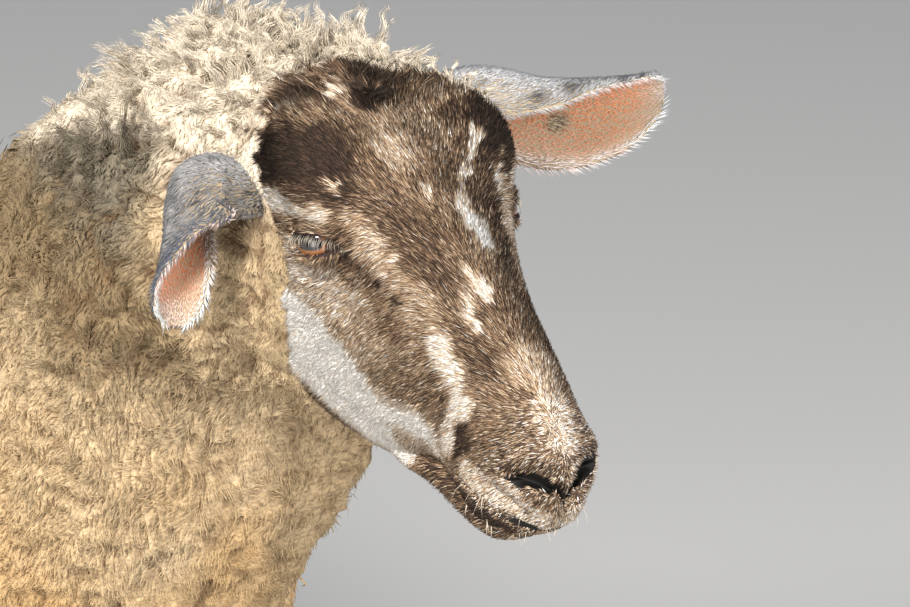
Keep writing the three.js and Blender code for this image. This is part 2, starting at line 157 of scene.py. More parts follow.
def to_head(points):
    """Points in head axes: how far forward of the poll, to her left and above it."""
    return (points - POLL) @ HEAD_AXES.T


def from_head(points):
    """The way back from head axes."""
    return POLL + points @ HEAD_AXES


def body(t, angle):
    """The outer form at station t and angle (0 at the top line, a quarter turn at her left side): each ring
    is a superellipse, rounder or squarer above and below its widest level, raised by the fleece's
    slow waves and the head's swellings. Returns the points and the directions out of the form."""
    t, angle = np.broadcast_arrays(np.asarray(t, float), angle)
    top_x, top_z, low_x, low_z, half, level, crown, keel = np.moveaxis(along(SPINE, t), -1, 0)
    rise = np.hypot(top_x - low_x, top_z - low_z)
    zero = np.zeros_like(rise)
    up = np.stack(((top_x - low_x) / rise, zero, (top_z - low_z) / rise), -1)
    s, c = np.sin(angle), np.cos(angle)
    power = 2 / np.where(c > 0, crown, keel)
    across = half * np.sign(s) * np.abs(s) ** power
    reach = np.where(c > 0, 1 - level, level) * rise
    height = level * rise + reach * np.sign(c) * np.abs(c) ** power
    point = np.stack((low_x, across, low_z), -1) + up * height[..., None]
    out = unit(up * (c * half)[..., None] + LEFT * (s * rise * 0.5)[..., None])
    woolly = smooth(t, 0.5, 2) * (1 - smooth(t, NAPE, 13.4))
    wave = np.sin(3.1 * t + 2 * angle) + np.sin(4.7 * t - 3 * angle + 1) + np.sin(5 * angle + 1.9 * t)
    lift = FLEECE_WAVE * woolly * wave
    head = to_head(point)
    head[..., 1] = np.abs(head[..., 1])
    for centre, spread, raised in SWELLINGS:
        lift = lift + raised * np.exp(-np.sum(((head - centre) / spread) ** 2, -1))
    return point + out * lift[..., None], out


def turned(points):
    """Past the withers the midline swings to her right: a point's place along it is walked in
    sixteen short steps, and the point is set square to the line where the walk ends."""
    x, y, z = np.moveaxis(points, -1, 0)
    start = np.minimum(x, TURN_FROM)
    step = (x - start) / TURN_STEPS
    line_x, line_y = start.copy(), np.zeros_like(x)
    for k in range(TURN_STEPS):
        swing = -NECK_TURN * smooth(start + step * (k + 0.5), TURN_FROM, TURN_TO)
        line_x += np.cos(swing) * step
        line_y += np.sin(swing) * step
    swing = -NECK_TURN * smooth(x, TURN_FROM, TURN_TO)
    return np.stack((line_x - y * np.sin(swing), line_y + y * np.cos(swing), z), -1)


def in_place(points):
    """Millimetres of the straight ewe to metres of the standing one."""
    return (turned(points) - FOOTPRINT) * MILLIMETRE


def tube_faces(rings, around):
    """Triangles of a closed tube: each cell between two rings is split in two, and each end ring is
    fanned to a middle point, which follows the rings in the list of points."""
    row, column = np.meshgrid(np.arange(rings - 1), np.arange(around), indexing="ij")
    following = (column + 1) % around
    a, b = row * around + column, row * around + following
    c, d = b + around, a + around
    sides = np.concatenate((np.stack((a, b, c), -1), np.stack((a, c, d), -1))).reshape(-1, 3)
    edge, after = np.arange(around), (np.arange(around) + 1) % around
    first, last = rings * around, (rings - 1) * around
    start_cap = np.stack((after, edge, np.full(around, first)), -1)
    end_cap = np.stack((last + edge, last + after, np.full(around, first + 1)), -1)
    return np.concatenate((sides, start_cap, end_cap))


def tube(grid):
    """Points and triangles of a closed tube over a grid of rings, with its faces outwards."""
    points = np.concatenate((grid.reshape(-1, 3), grid[0].mean(0)[None], grid[-1].mean(0)[None]))
    faces = tube_faces(*grid.shape[:2])
    a, b, c = (points[faces[:, k]] for k in range(3))
    volume = np.sum(np.cross(a, b) * c)
    return points, faces if volume > 0 else faces[:, ::-1]


def grid_normals(grid):
    """Directions out of a tube: the steps along it crossed with the steps around it, turned so that
    most of them point away from the ring's middle."""
    lengthwise = np.gradient(grid, axis=0)
    around = np.roll(grid, -1, axis=1) - np.roll(grid, 1, axis=1)
    normal = unit(np.cross(around, lengthwise))
    away = grid - grid.mean(1, keepdims=True)
    return normal * np.sign(np.sum(normal * away))


def full_turn(count):
    """Angles at equal steps once round, as a row."""
    return np.linspace(0, 2 * np.pi, count, endpoint=False)[None]


def set_attribute(mesh, name, values):
    """Keeps three numbers for each point of the mesh under a name: "shade" as an opaque colour, and any
    other name as a vector."""
    if name == "shade":
        values = np.concatenate((values, np.ones((len(values), 1))), 1)
        kept = mesh.attributes.new(name, "FLOAT_COLOR", "POINT")
        kept.data.foreach_set("color", values.astype(np.float32).ravel())
    else:
        kept = mesh.attributes.new(name, "FLOAT_VECTOR", "POINT")
        kept.data.foreach_set("vector", values.astype(np.float32).ravel())


def new_piece(name, points, faces, material, colours=None, chart=None):
    """A mesh object at the origin from arrays: its points in metres, its triangles, a colour for each
    point in the attribute "shade", and a place on the chart of the hide for each point."""
    mesh = bpy.data.meshes.new(name)
    mesh.vertices.add(len(points))
    mesh.vertices.foreach_set("co", points.astype(np.float32).ravel())
    mesh.loops.add(faces.size)
    mesh.loops.foreach_set("vertex_index", faces.astype(np.int32).ravel())
    mesh.polygons.add(len(faces))
    mesh.polygons.foreach_set("loop_start", np.arange(0, faces.size, 3, dtype=np.int32))
    mesh.update(calc_edges=True)
    mesh.polygons.foreach_set("use_smooth", np.full(len(faces), True))
    if colours is not None:
        set_attribute(mesh, "shade", colours)
    if chart is not None:
        layer = mesh.uv_layers.new(name="OFBake")
        layer.data.foreach_set("uv", chart[faces.ravel()].astype(np.float32).ravel())
    mesh.materials.append(material)
    piece = bpy.data.objects.new(name, mesh)
    bpy.context.scene.collection.objects.link(piece)
    return piece


def cloudy(points, size, seed):
    """Smooth cloudy numbers from -1 to 1: random values on a cubic lattice of the given size, mixed
    along each axis between the eight nearest."""
    values = np.random.default_rng(seed).random((32, 32, 32)) * 2 - 1
    place = points / size
    low = np.floor(place).astype(int)
    part = place - low
    part = part * part * (3 - 2 * part)
    total = 0
    for corner in np.ndindex(2, 2, 2):
        weight = np.prod(np.where(np.array(corner) == 1, part, 1 - part), -1)
        cell = (low + corner) % 32
        total = total + weight * values[cell[..., 0], cell[..., 1], cell[..., 2]]
    return total


def drift(points, size, seed):
    """A slowly turning direction with cloudy parts along the three axes."""
    return np.stack([cloudy(points, size, seed + k) for k in range(3)], -1)


# ---------------------------------------------------------------- markings
# Her face is roan: dark, brown, tan and white hairs lie mixed in patches, with
# white down the nose, over the eyes and along the jaws, and cream wool behind.

TONES = np.linspace(0, 1, 5)
TONE_COLOURS = np.array((
    (0.018, 0.013, 0.010),
    (0.105, 0.062, 0.040),
    (0.380, 0.250, 0.150),
    (0.700, 0.570, 0.420),
    (0.930, 0.925, 0.910),
))
CREAM_WOOL = np.array((0.62, 0.47, 0.29))
SKIN_PINK = np.array((0.80, 0.28, 0.12))

# tone, reach and line of each patch, from the first laid to the last; tone 0 is black and 1 is white
PATCHES = [
    (0.45, 24, [(64, 4, 15), (60, 24, 15)]),
    (0.56, 13, [(79, -11, 15)]),
    (0.42, 14, [(39, 28, 14), (52, 46, 10)]),
    (0.54, 7, [(60, 46, 8), (78, 46, 8)]),
    (0.58, 9, [(71, 32, 16)]),
    (0.20, 17, [(22, -34, 7), (10, -14, 4)]),
    (0.26, 14, [(34, 8, 12)]),
    (0.26, 13, [(84, -30, 13), (100, -28, 8)]),
    (0.22, 16, [(119, -22, 6), (142, -24, 0)]),
    (0.18, 13, [(64, -34, 17), (82, -48, 7)]),
    (0.10, 14, [(66, -48, 13), (80, -45, 11)]),
    (0.04, 18, [(42, -60, -12), (54, -61, 4), (64, -57, 10), (68, -50, 13)]),
    (0.58, 5, [(26, -58, -2), (30, -52, 6), (34, -46, 9)]),
    (0.30, 7, [(52, -62, -40), (60, -60, -52)]),
    (0.04, 7, [(27, 0, 9), (36, -4, 11), (44, -8, 13)]),
    (0.85, 3.5, [(18, -8, 6), (27, -14, 9), (35, -21, 11)]),
    (0.82, 4, [(91, 42, 6), (106, 36, 2), (122, 29, -3)]),
    (0.66, 2.5, [(104, -6, 13), (98, -9, 13)]),
    (0.56, 2.5, [(84, -45, 9), (80, -49, 8)]),
    (0.92, 7, [(58, -61, -26), (64, -61, -20), (74, -60, -14)]),
    (0.76, 5.5, [(80, -59, -11), (90, -54, -4)]),
    (0.56, 8, [(101, -42, -1), (111, -39, -4)]),
    (0.30, 6, [(96, -48, -6), (104, -46, -9)]),
    (0.60, 8, [(118, -36, -5), (126, -35, -8)]),
    (0.52, 12, [(137, -33, -11), (150, -29, -11)]),
    (0.68, 13, [(89, -54, -41), (104, -51, -36)]),
    (0.66, 13, [(110, -49, -38), (127, -45, -34)]),
    (0.54, 14, [(132, -45, -40), (150, -41, -44)]),
    (0.42, 13, [(163, -37, -48), (165, -33, -26)]),
    (0.30, 12, [(176, -34, -44)]),
    (0.24, 14, [(177, -15, 0), (194, -16, -3)]),
    (0.34, 10, [(182, -8, 3), (190, 6, 1)]),
    (0.58, 12, [(203, -2, -1), (212, 14, -6)]),
    (0.36, 15, [(212, -22, -13), (228, -22, -16)]),
    (0.66, 12, [(225, 2, -9), (236, 2, -13)]),
    (0.10, 9, [(205, -32, -36), (214, -33, -42), (221, -32, -47)]),
    (0.28, 6, [(228, -28, -22), (236, -28, -30)]),
    (0.60, 8, [(240, -26, -39), (248, -18, -42)]),
    (0.97, 17, [(86, -56, -70), (106, -52, -66), (122, -48, -69), (144, -40, -76), (166, -36, -76),
                (186, -34, -62)]),
    (0.95, 16, [(98, -44, -94), (120, -36, -103), (144, -28, -104), (166, -28, -92)]),
    (0.97, 13, [(98, -50, -80), (120, -43, -87), (142, -35, -90), (162, -32, -84)]),
    # painted shade: a greyer patch low on the jaw amid the white, for the shade under the head
    (0.62, 11, [(174, -31, -80), (190, -32, -72)]),
    (0.24, 13, [(194, -26, -84), (214, -24, -78), (236, -18, -74), (252, 0, -74)]),
    (0.68, 9, [(220, -32, -48), (234, -29, -45), (248, -20, -43), (257, -6, -46)]),
    (0.04, 5, [(198, -31, -67), (210, -31, -65), (222, -30, -63), (232, -29, -61), (242, -26, -59),
               (250, -18, -58)]),
    (0.02, 3, [(107, -47, -14), (120, -42, -14), (132, -37, -15), (140, -35, -16)]),
    (0.90, 3.5, [(73, 36, 15), (85, 25, 14), (96, 16, 13), (107, 8, 13), (120, 7, 12)]),
    (0.97, 6, [(124, 7, 11), (131, 9, 10), (135, 10, 9)]),
    (0.90, 4.5, [(150, -8, 8), (162, -4, 7)]),
    (0.88, 4.5, [(162, -13, 3), (168, -16, 1), (176, -15, 0)]),
    (0.90, 7.5, [(168, -28, -14), (181, -28, -19), (191, -28, -20), (199, -29, -26)]),
    (0.92, 5, [(199, -31, -34), (203, -33, -50)]),
]

# level of the head and how far forward the wool reaches there
WOOL_LEVELS = np.array(((-6, -15), (-17, 41), (-26, 50), (-37, 68), (-50, 77), (-65, 83), (-84, 94),
                        (-120, 101), (-131, 115), (-160, 130)))
# how far forward of the poll it reaches on the crown, and how much farther in the middle and on her left
WOOL_CROWN = -5
CROWN_MIDDLE = 6
CROWN_LEFT = 22
# beyond this half width the edge slants forward, by so much for each millimetre outwards
CROWN_HALF = 30
CROWN_SLANT = 1.35
# size and height of the edge's large and small wanderings
WANDERING = (14, 5)
SMALL_WANDERING = (5, 4)
# the tone where no patch lies
BETWEEN_PATCHES = 0.33


def behind_border(head):
    """How far each point lies behind the front edge of the wool, in millimetres: the edge crosses the
    crown, slants out before the ears and goes down behind the cheeks to the throat, wandering a little."""
    forward, left, up = np.moveaxis(head, -1, 0)
    levels, reach = WOOL_LEVELS.T
    crown = WOOL_CROWN + CROWN_SLANT * np.maximum(np.abs(left) - CROWN_HALF, 0)
    crown = crown + CROWN_LEFT * smooth(left, 5, 25)
    crown = crown + CROWN_MIDDLE * (1 - smooth(np.abs(left), 20, 40))
    edge = np.maximum(np.interp(-up, -levels, reach), crown)
    edge = edge + WANDERING[1] * cloudy(head, WANDERING[0], 3)
    edge = edge + SMALL_WANDERING[1] * cloudy(head, SMALL_WANDERING[0], 4)
    return edge - forward


def wool_share(head):
    """1 where wool grows and 0 on the hair of the face."""
    return smooth(behind_border(head), -4, 6)


def streak(head, points, reach):
    """A soft line through the points: the bell of the distance to the nearest of its straight lengths."""
    points = np.asarray(points, float)
    nearest = np.linalg.norm(head - points[0], axis=-1)
    for start, end in zip(points[:-1], points[1:]):
        run = end - start
        part = np.clip((head - start) @ run / (run @ run), 0, 1)
        nearest = np.minimum(nearest, np.linalg.norm(head - start - part[..., None] * run, axis=-1))
    return np.exp(-(nearest / reach) ** 2)


def right_side(head):
    """Both halves of the head folded onto its right."""
    return np.stack((head[..., 0], -np.abs(head[..., 1]), head[..., 2]), -1)


def face_tone(head):
    """The tone of the hair at each point, 0 black to 1 white: the patches laid over one another with
    ragged edges. A patch 20 mm or more to her right lies on both sides."""
    shift = 2.8 * drift(head, 5, 11) + 1.4 * drift(head, 2, 15)
    place = head + shift
    folded = right_side(place)
    tone = BETWEEN_PATCHES + 0.05 * cloudy(head, 12, 14)
    for target, reach, line in PATCHES:
        share = streak(folded if line[0][1] <= -20 else place, line, reach)
        tone = tone + (target - tone) * smooth(share, 0.2, 0.72)
    return tone


def tone_colour(tone):
    """The colour of a tone, mixed between the two nearest of the five."""
    return np.stack([np.interp(tone, TONES, TONE_COLOURS[:, channel]) for channel in range(3)], -1)


# -------------------------------------------------------------------- hide
# One hide over the whole animal, from lips to tail and down to the coronets:
# it lies inside the outer form by the coat's depth, with lids, nostrils and
# mouth line pressed into it, and jaw, ears, legs and tail joined to it.

FACE_COAT = 1.8
TRUNK_COAT = 34
CHEEK_COAT = 12
EYE = np.array((89.0, -45.0, -24.0))
EYEBALL = 14.0
LID_DARK = np.array((0.022, 0.009, 0.007))
LID_THICKNESS = 2.2
LIDS_LENGTHWISE = np.array((0.807, 0.226, 0.547))
LIDS_OUT = np.array((0.228, -0.972, 0.066))
LIDS_ACROSS = np.cross(LIDS_OUT, LIDS_LENGTHWISE)
LID_AXES = np.stack((LIDS_LENGTHWISE, LIDS_ACROSS, LIDS_OUT))
OPENING_HALF = 16.5
OPENING_AT = np.array((2.5, 2.0))
UPPER_LID_RISE = 5.0
LOWER_LID_FALL = 4.2
MOUTH_LINE = [(196, -33, -62), (210, -33, -58), (222, -32, -56), (230, -32, -54), (242, -28, -52),
              (249, -22, -51.5), (254, -12, -53), (256, 0, -55)]
NOSTRIL_ACROSS = np.array((0.0, 0.83, 0.55))
NOSTRIL_SLIT = [(239, -37), (243, -32), (247, -25.5), (252, -19.5), (256, -18), (258, -21)]
NOSTRIL_HOLLOW = [(242, -33), (246, -27), (249, -23.5)]
NOSTRIL_DEPTH = 9.0
NOSTRIL_REACH = 4.0
TEAR_LINE = [(106, -49, -13), (118, -44, -14), (132, -39, -15)]
LIP_CLEFT = [(258, 0, -36), (259, 0, -50)]
NOSTRIL_WING = [(240, -25, -15), (250, -15, -18), (256, -6, -22)]
# depth and reach of each line pressed into the hide; the wing of the nostril stands out of it
PRESSED_LINES = [
    (MOUTH_LINE, 4.0, 2.2),
    (TEAR_LINE, 1.8, 2.2),
    (LIP_CLEFT, 1.2, 1.3),
    (NOSTRIL_WING, -1.5, 3.5),
]
# how far the lids' hold on the hide reaches along and across the opening, and how softly they join it
LIDS_REACH = (26, 20)
LIDS_BLEND = 3.0
# distance outside the opening, breadth and height of the lids' creases, the fold between them and the margin
LID_FOLDS = [(5.2, 1.1, -1.2), (3.4, 1.0, 0.6), (1.3, 0.9, 0.9)]
# the station of the form past which the wool has an edge, and how far behind one all before it counts
NECK_END = 12.6
FAR_BEHIND = 100.0
# how far behind the poll the hide is woolly all over
BEHIND_POLL = 60


def lids_shape(lengthwise, across):
    """How far the lids' margins lie above and below each point of the opening: the upper one arches
    and the lower one sags, both as one less a square. Positive inside the opening."""
    place = (lengthwise - OPENING_AT[0]) / OPENING_HALF
    arch = 1 - place ** 2
    upper = OPENING_AT[1] + UPPER_LID_RISE * arch
    lower = OPENING_AT[1] - LOWER_LID_FALL * arch
    return np.minimum(upper - across, across - lower)


def with_lids(head):
    """Near each eye the hide stands over the eyeball as two lids, and inside their opening it turns in
    behind the ball; creases run over and under them."""
    folded = right_side(head)
    local = (folded - EYE) @ LID_AXES.T
    lengthwise, across, out = np.moveaxis(local, -1, 0)
    near = np.exp(-((lengthwise / LIDS_REACH[0]) ** 2 + (across / LIDS_REACH[1]) ** 2) ** 2)
    near = near * smooth(out, -14, -4)
    radius = EYEBALL + LID_THICKNESS
    reach = lengthwise ** 2 + across ** 2
    dome = np.sqrt(np.maximum(radius ** 2 - reach, 0))
    over = np.where(reach < radius ** 2, dome, -20)
    mixed = np.logaddexp(out / LIDS_BLEND, over / LIDS_BLEND) * LIDS_BLEND
    mixed = mixed - LIDS_BLEND * np.log(2) * np.exp(-np.abs(out - over) / 4)
    inside = lids_shape(lengthwise, across)
    behind = np.sqrt(np.maximum((EYEBALL - 2.5) ** 2 - reach, 0)) - 1
    open_share = smooth(inside, -0.35, 0.75)
    folds = sum(height * np.exp(-((inside + place) / breadth) ** 2) for place, breadth, height in LID_FOLDS)
    lifted = mixed + folds * np.exp(-(reach / LIDS_REACH[1] ** 2))
    lifted = lifted + (np.minimum(behind, lifted) - lifted) * open_share
    new_out = out + (lifted - out) * near
    moved = local.copy()
    moved[..., 2] = new_out
    back_in_head = EYE + moved @ LID_AXES
    back_in_head[..., 1] = back_in_head[..., 1] * np.where(head[..., 1] > 0, -1, 1)
    return np.where((near > 0.002)[..., None], back_in_head, head)


def nostril(head, width):
    """How far inside a nostril each point lies: the bells of the distances to its slit and, wider, to its
    hollow, measured over the nose and not into it."""
    folded = right_side(head)
    place = np.stack((folded[..., 0], folded @ NOSTRIL_ACROSS), -1)
    return np.maximum(streak(place, NOSTRIL_SLIT, 0.5 * width), streak(place, NOSTRIL_HOLLOW, width))


def pressed(head, out):
    """The nostrils and the lines of mouth, tears and lip pressed into the hide, each as deep as the bell
    of the distance to it."""
    folded = right_side(head)
    depth = NOSTRIL_DEPTH * nostril(head, NOSTRIL_REACH)
    for line, deep, reach in PRESSED_LINES:
        depth = depth + deep * streak(folded, line, reach)
    return head - out * depth[..., None]


def coat_depth(points, t):
    """How deep the hide lies: thin on the face, and growing over the cheeks and neck to the trunk."""
    woolly = np.where(t < NECK_END, 1.0, wool_share(to_head(points)))
    deep = CHEEK_COAT + (TRUNK_COAT - CHEEK_COAT) * (1 - smooth(t, 9, 13.5))
    half = along(SPINE, t)[..., 4]
    return np.minimum(FACE_COAT + (deep - FACE_COAT) * woolly, 0.3 * half)


def spread(start, end, finest, *centres):
    """Places from start to end, closest together at each centre: steps are finest there, and grow
    with the distance up to the given widest. A centre is (place, reach, widest)."""
    line = np.linspace(start, end, 4001)
    step = np.full_like(line, 1e9)
    for place, reach, widest in centres:
        away = smooth(np.abs(line - place), reach * 0.5, reach * 2)
        step = np.minimum(step, finest + (widest - finest) * away)
    density = 1 / step
    total = np.concatenate(((0,), np.cumsum((density[1:] + density[:-1]) / 2 * np.diff(line))))
    count = int(np.ceil(total[-1]))
    return np.interp(np.linspace(0, total[-1], count + 1), total, line)


EYE_STATION = 16.95
EYE_ANGLE = 1.26
MUZZLE_STATION = 23
stations = np.concatenate((
    spread(0, NAPE, 0.05, (NAPE, 1, 0.16)),
    spread(NAPE, LIP_FRONT, 0.026, (EYE_STATION, 0.9, 0.075), (MUZZLE_STATION, 1.2, 0.05))[1:],
))
half_round = spread(0, np.pi, 0.0135, (EYE_ANGLE, 0.22, 0.032))
angles = np.concatenate((half_round, 2 * np.pi - half_round[-2:0:-1]))
station_grid, angle_grid = np.meshgrid(stations, angles, indexing="ij")
outer_form, outward = body(station_grid, angle_grid)
hide_form = outer_form - outward * coat_depth(outer_form, station_grid)[..., None]
lips = hide_form[-1:]
middle = lips.mean(1, keepdims=True)
closing = np.linspace(0.25, 1.5, 8)[:, None, None]
lip_cap = middle + (lips - middle) * np.cos(closing) + FORWARD * 2.5 * np.sin(closing)
hide_form = np.concatenate((hide_form, lip_cap))
outward = np.concatenate((outward, np.broadcast_to(FORWARD, lip_cap.shape)))
head_rows = np.append(stations, np.full(len(lip_cap), LIP_FRONT)) > NAPE
hide_form[head_rows] = from_head(pressed(
    with_lids(to_head(hide_form[head_rows])), outward[head_rows] @ HEAD_AXES.T))

# length along the jaw, upper edge, lower edge and half width of each ring, in head axes
JAW = [
    (140, -90, -121, 20),
    (166, -82, -113, 24),
    (192, -75, -99, 23),
    (217, -70, -92, 22),
    (235, -68, -86, 18),
    (244, -67, -78, 10),
]
# middle rib, direction in which the ear opens, width and roll of each ring, in head axes
EARS = {
    1: [
        (15, 46, -10, 0.72, -0.10, -0.68, 24, 1.6),
        (17, 74, -6, 0.74, -0.10, -0.66, 40, 1.5),
        (24, 101, -16, 0.90, -0.11, -0.38, 43, 1.3),
        (32, 125, -22, 0.98, -0.10, -0.08, 40, 1.15),
        (37, 149, -23, 0.97, -0.09, 0.10, 31, 1.1),
        (38, 168, -22, 0.93, -0.09, 0.25, 18, 1.0),
        (38, 177, -20, 0.90, -0.09, 0.30, 6, 0.6),
    ],
    -1: [
        (36, 42, -38, 0.50, -0.45, -0.74, 22, 1.6),
        (31, 58, -31, 0.52, -0.45, -0.72, 30, 1.6),
        (25, 74, -28, 0.54, -0.50, -0.67, 36, 1.6),
        (25, 88, -34, 0.52, -0.68, -0.50, 38, 1.6),
        (33, 96, -48, 0.50, -0.85, -0.10, 34, 1.5),
        (44, 98, -61, 0.68, -0.60, 0.42, 25, 1.3),
        (55, 97, -74, 0.68, 0.02, 0.73, 18, 1.0),
        (63, 97, -86, 0.64, 0.25, 0.73, 13, 0.85),
        (67, 98, -94, 0.60, 0.33, 0.73, 5, 0.6),
    ],
}
EAR_THICKNESS = 2.2
# height, place behind or before the foot, half length and half width of each ring
FORELEG = [
    (452, 0, 84, 52), (400, -6, 78, 50), (350, -8, 62, 44), (305, -2, 45, 36), (262, 3, 33, 29),
    (232, 6, 26, 24), (206, 8, 25, 23), (180, 5, 19, 17), (135, 2, 15, 13), (100, 1, 16, 14.5),
    (78, 2, 21, 20), (58, 9, 18, 19), (36.4, 18, 22, 22),
]
HINDLEG = [
    (500, 34, 118, 62), (440, 24, 116, 62), (380, 6, 92, 54), (330, -16, 62, 42), (290, -36, 42, 31),
    (256, -50, 34, 24), (230, -56, 27, 21), (195, -50, 20, 17), (140, -40, 16, 14), (102, -33, 17, 15),
    (80, -30, 22, 20), (59, -22, 18, 19), (36.4, -14, 22, 22),
]
FEET = {"foreleg": (228, 92, FORELEG), "hindleg": (-292, 96, HINDLEG)}
# height, place along the body and half width of each ring
TAIL = [
    (664, -418, 24), (630, -440, 31), (580, -452, 30), (530, -452, 27), (492, -447, 20), (476, -445, 8),
]
LEG_COAT = 1.6
LEG_WOOL = 12
LEG_WOOL_FROM = 250
LEG_WOOL_FULL = 330
TAIL_COAT = 12


def jaw_form():
    """The jaw: an ellipse for each ring, from under the throat to the lower lip."""
    t = np.linspace(0, len(JAW) - 1, 60)[:, None]
    angle = full_turn(90)
    length, top, low, half = np.moveaxis(along(JAW, t + 0 * angle), -1, 0)
    reach = (top - low) / 2 - FACE_COAT
    return from_head(np.stack((
        length, (half - FACE_COAT) * np.sin(angle), (top + low) / 2 + reach * np.cos(angle)), -1))


def ear_form(side):
    """An ear: a leaf bent round its rib, its back and its hollow a thickness apart at the rib and
    closing at the rims."""
    rows = EARS[side]
    q = np.concatenate((np.linspace(-1, 1, 60), np.linspace(1, -1, 60)[1:-1]))[None]
    outside = np.concatenate((np.ones(60), -np.ones(58)))[None]
    t = np.linspace(0, len(rows) - 1, 110)[:, None] + 0 * q
    ring = along(rows, t)
    rib = ring[..., :3]
    tangent = unit(along(rows, t + 0.05)[..., :3] - along(rows, t - 0.05)[..., :3])
    opening = ring[..., 3:6]
    opening = unit(opening - tangent * np.sum(opening * tangent, -1, keepdims=True))
    across = np.cross(tangent, opening)
    width, roll = ring[..., 6:7], ring[..., 7:8]
    bend = width / roll
    q = (q + 0 * t)[..., None]
    depth = -outside[..., None] * EAR_THICKNESS / 2 * np.sqrt(1.15 - q ** 2)
    leaf = rib + across * (bend - depth) * np.sin(q * roll)
    leaf = leaf + opening * (bend - (bend - depth) * np.cos(q * roll))
    return from_head(leaf * (1, side, 1))


def leg_form(leg, side):
    """A leg: an ellipse for each ring, from inside the trunk to the coronet. It ends just inside the
    claws, and the coat is deeper on the arm or thigh."""
    foot_x, foot_y, rows = FEET[leg]
    t = np.concatenate((np.linspace(0, 4, 34)[:-1], np.linspace(4, len(rows) - 1, 100)))[:, None]
    angle = full_turn(64)
    height, place, length, width = np.moveaxis(along(rows, t + 0 * angle), -1, 0)
    depth = LEG_COAT + (LEG_WOOL - LEG_COAT) * smooth(height, LEG_WOOL_FROM, LEG_WOOL_FULL)
    depth = depth * smooth(height, 34, 44)
    return np.stack((
        foot_x + place + (length - depth) * np.cos(angle),
        side * foot_y + (width - depth) * np.sin(angle),
        height), -1)


def tail_form():
    """The tail: rings a little flatter front to back than across, hanging behind the buttocks."""
    t = np.linspace(0, len(TAIL) - 1, 50)[:, None]
    angle = full_turn(40)
    height, place, half = np.moveaxis(along(TAIL, t + 0 * angle), -1, 0)
    half = np.maximum(half - TAIL_COAT, 3)
    return np.stack((place + 0.7 * half * np.cos(angle), half * np.sin(angle), height), -1)


LIMBS = {
    "jaw": jaw_form(),
    "ear_left": ear_form(1),
    "ear_right": ear_form(-1),
    "foreleg_left": leg_form("foreleg", 1),
    "foreleg_right": leg_form("foreleg", -1),
    "hindleg_left": leg_form("hindleg", 1),
    "hindleg_right": leg_form("hindleg", -1),
    "tail": tail_form(),
}


def material(name, roughness, specular=0.5, coat=0.0):
    """A principled material that takes its colour from the attribute "shade"."""
    made = bpy.data.materials.new(name)
    made.use_nodes = True
    shader = made.node_tree.nodes["Principled BSDF"]
    shader.inputs["Roughness"].default_value = roughness
    shader.inputs["Specular IOR Level"].default_value = specular
    shader.inputs["Coat Weight"].default_value = coat
    shader.inputs["Coat Roughness"].default_value = 0.04
    shade = made.node_tree.nodes.new("ShaderNodeAttribute")
    shade.attribute_name = "shade"
    made.node_tree.links.new(shade.outputs["Color"], shader.inputs["Base Color"])
    return made


def join_limb(hide, limb):
    """The limb's closed tube united with the hide, so that one surface runs over both."""
    union = hide.modifiers.new("join", "BOOLEAN")
    union.operation = "UNION"
    union.solver = "MANIFOLD"
    union.object = limb
    bpy.context.view_layer.update()
    joined = bpy.data.meshes.new_from_object(hide.evaluated_get(bpy.context.evaluated_depsgraph_get()))
    hide.modifiers.remove(union)
    hide.data = joined
    bpy.data.objects.remove(limb)


hide_material = material("hide", 0.62, specular=0.25)
points, faces = tube(hide_form)
hide = new_piece("hide", points * MILLIMETRE, faces, hide_material)
for name, grid in LIMBS.items():
    points, faces = tube(grid)
    join_limb(hide, new_piece(name, points * MILLIMETRE, faces, hide_material))


def blended(under, over, share):
    """The colour under, taken towards the colour over by a share from 0 to 1."""
    return under + (over - under) * share[..., None]


def hide_colour(points):
    """The hide's colour: the hair's colour over it, darkened as painted shade between the hairs, and darker
    cream under the wool as painted shade; dark at the lids, and black in the nostrils and along the mouth as
    painted shade."""
    head = to_head(points)
    folded = right_side(head)
    tone = face_tone(head)
    # Painted shade: the hide is 0.4 to 0.7 of the hair's colour, so that the gaps between hairs look dark.
    colour = (0.4 + 0.3 * smooth(tone, 0.7, 0.95))[:, None] * tone_colour(tone)
    woolly = np.where(points[:, 0] < POLL[0] - BEHIND_POLL, 1.0, wool_share(head))
    woolly = woolly * smooth(points[:, 2], LEG_WOOL_FROM, LEG_WOOL_FULL)
    # Painted shade: under the wool the hide is a darker cream, for the shade inside the fleece.
    colour = blended(colour, CREAM_WOOL * 0.55, woolly)
    local = (folded - EYE) @ LID_AXES.T
    margin = smooth(lids_shape(local[:, 0], local[:, 1]), -3.0, -1.2) * (np.abs(local[:, 0]) < 26)
    margin = margin * (local[:, 2] > -6) * (local[:, 2] < 30) * (np.abs(local[:, 1]) < 16)
    colour = blended(colour, LID_DARK, margin)
    # Painted shade: the nostrils and the line of the mouth are painted nearly black; the tear line is dark
    # too.
    black = streak(folded, MOUTH_LINE, 4.5)
    black = np.maximum(black, smooth(nostril(head, 5.5), 0.2, 0.5))
    black = np.maximum(black, 0.9 * streak(folded, TEAR_LINE, 2.2))
    return colour * (1 - 0.97 * np.clip(black * 1.3, 0, 1)[:, None])


hide_points = np.empty(len(hide.data.vertices) * 3)
hide.data.vertices.foreach_get("co", hide_points)
hide_points = hide_points.reshape(-1, 3) / MILLIMETRE
set_attribute(hide.data, "shade", hide_colour(hide_points))
hide.data.vertices.foreach_set("co", in_place(hide_points).ravel())
hide.data.update()
FLESH = ["trunk", "neck", "head", "lower_jaw", "tail", "ear_left", "ear_right"]
FLESH += [f"{leg}_{side}_{length}" for leg, upper in (("foreleg", "arm"), ("hindleg", "thigh"))
          for side in ("left", "right") for length in (upper, "cannon", "foot")]
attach(hide, "root")
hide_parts(*FLESH)

# -------------------------------------------------------------------- eyes
# Each eyeball is a moist ball 28 mm across with a raised clear front, an amber
# iris and a level slit of a pupil, held between the lids.

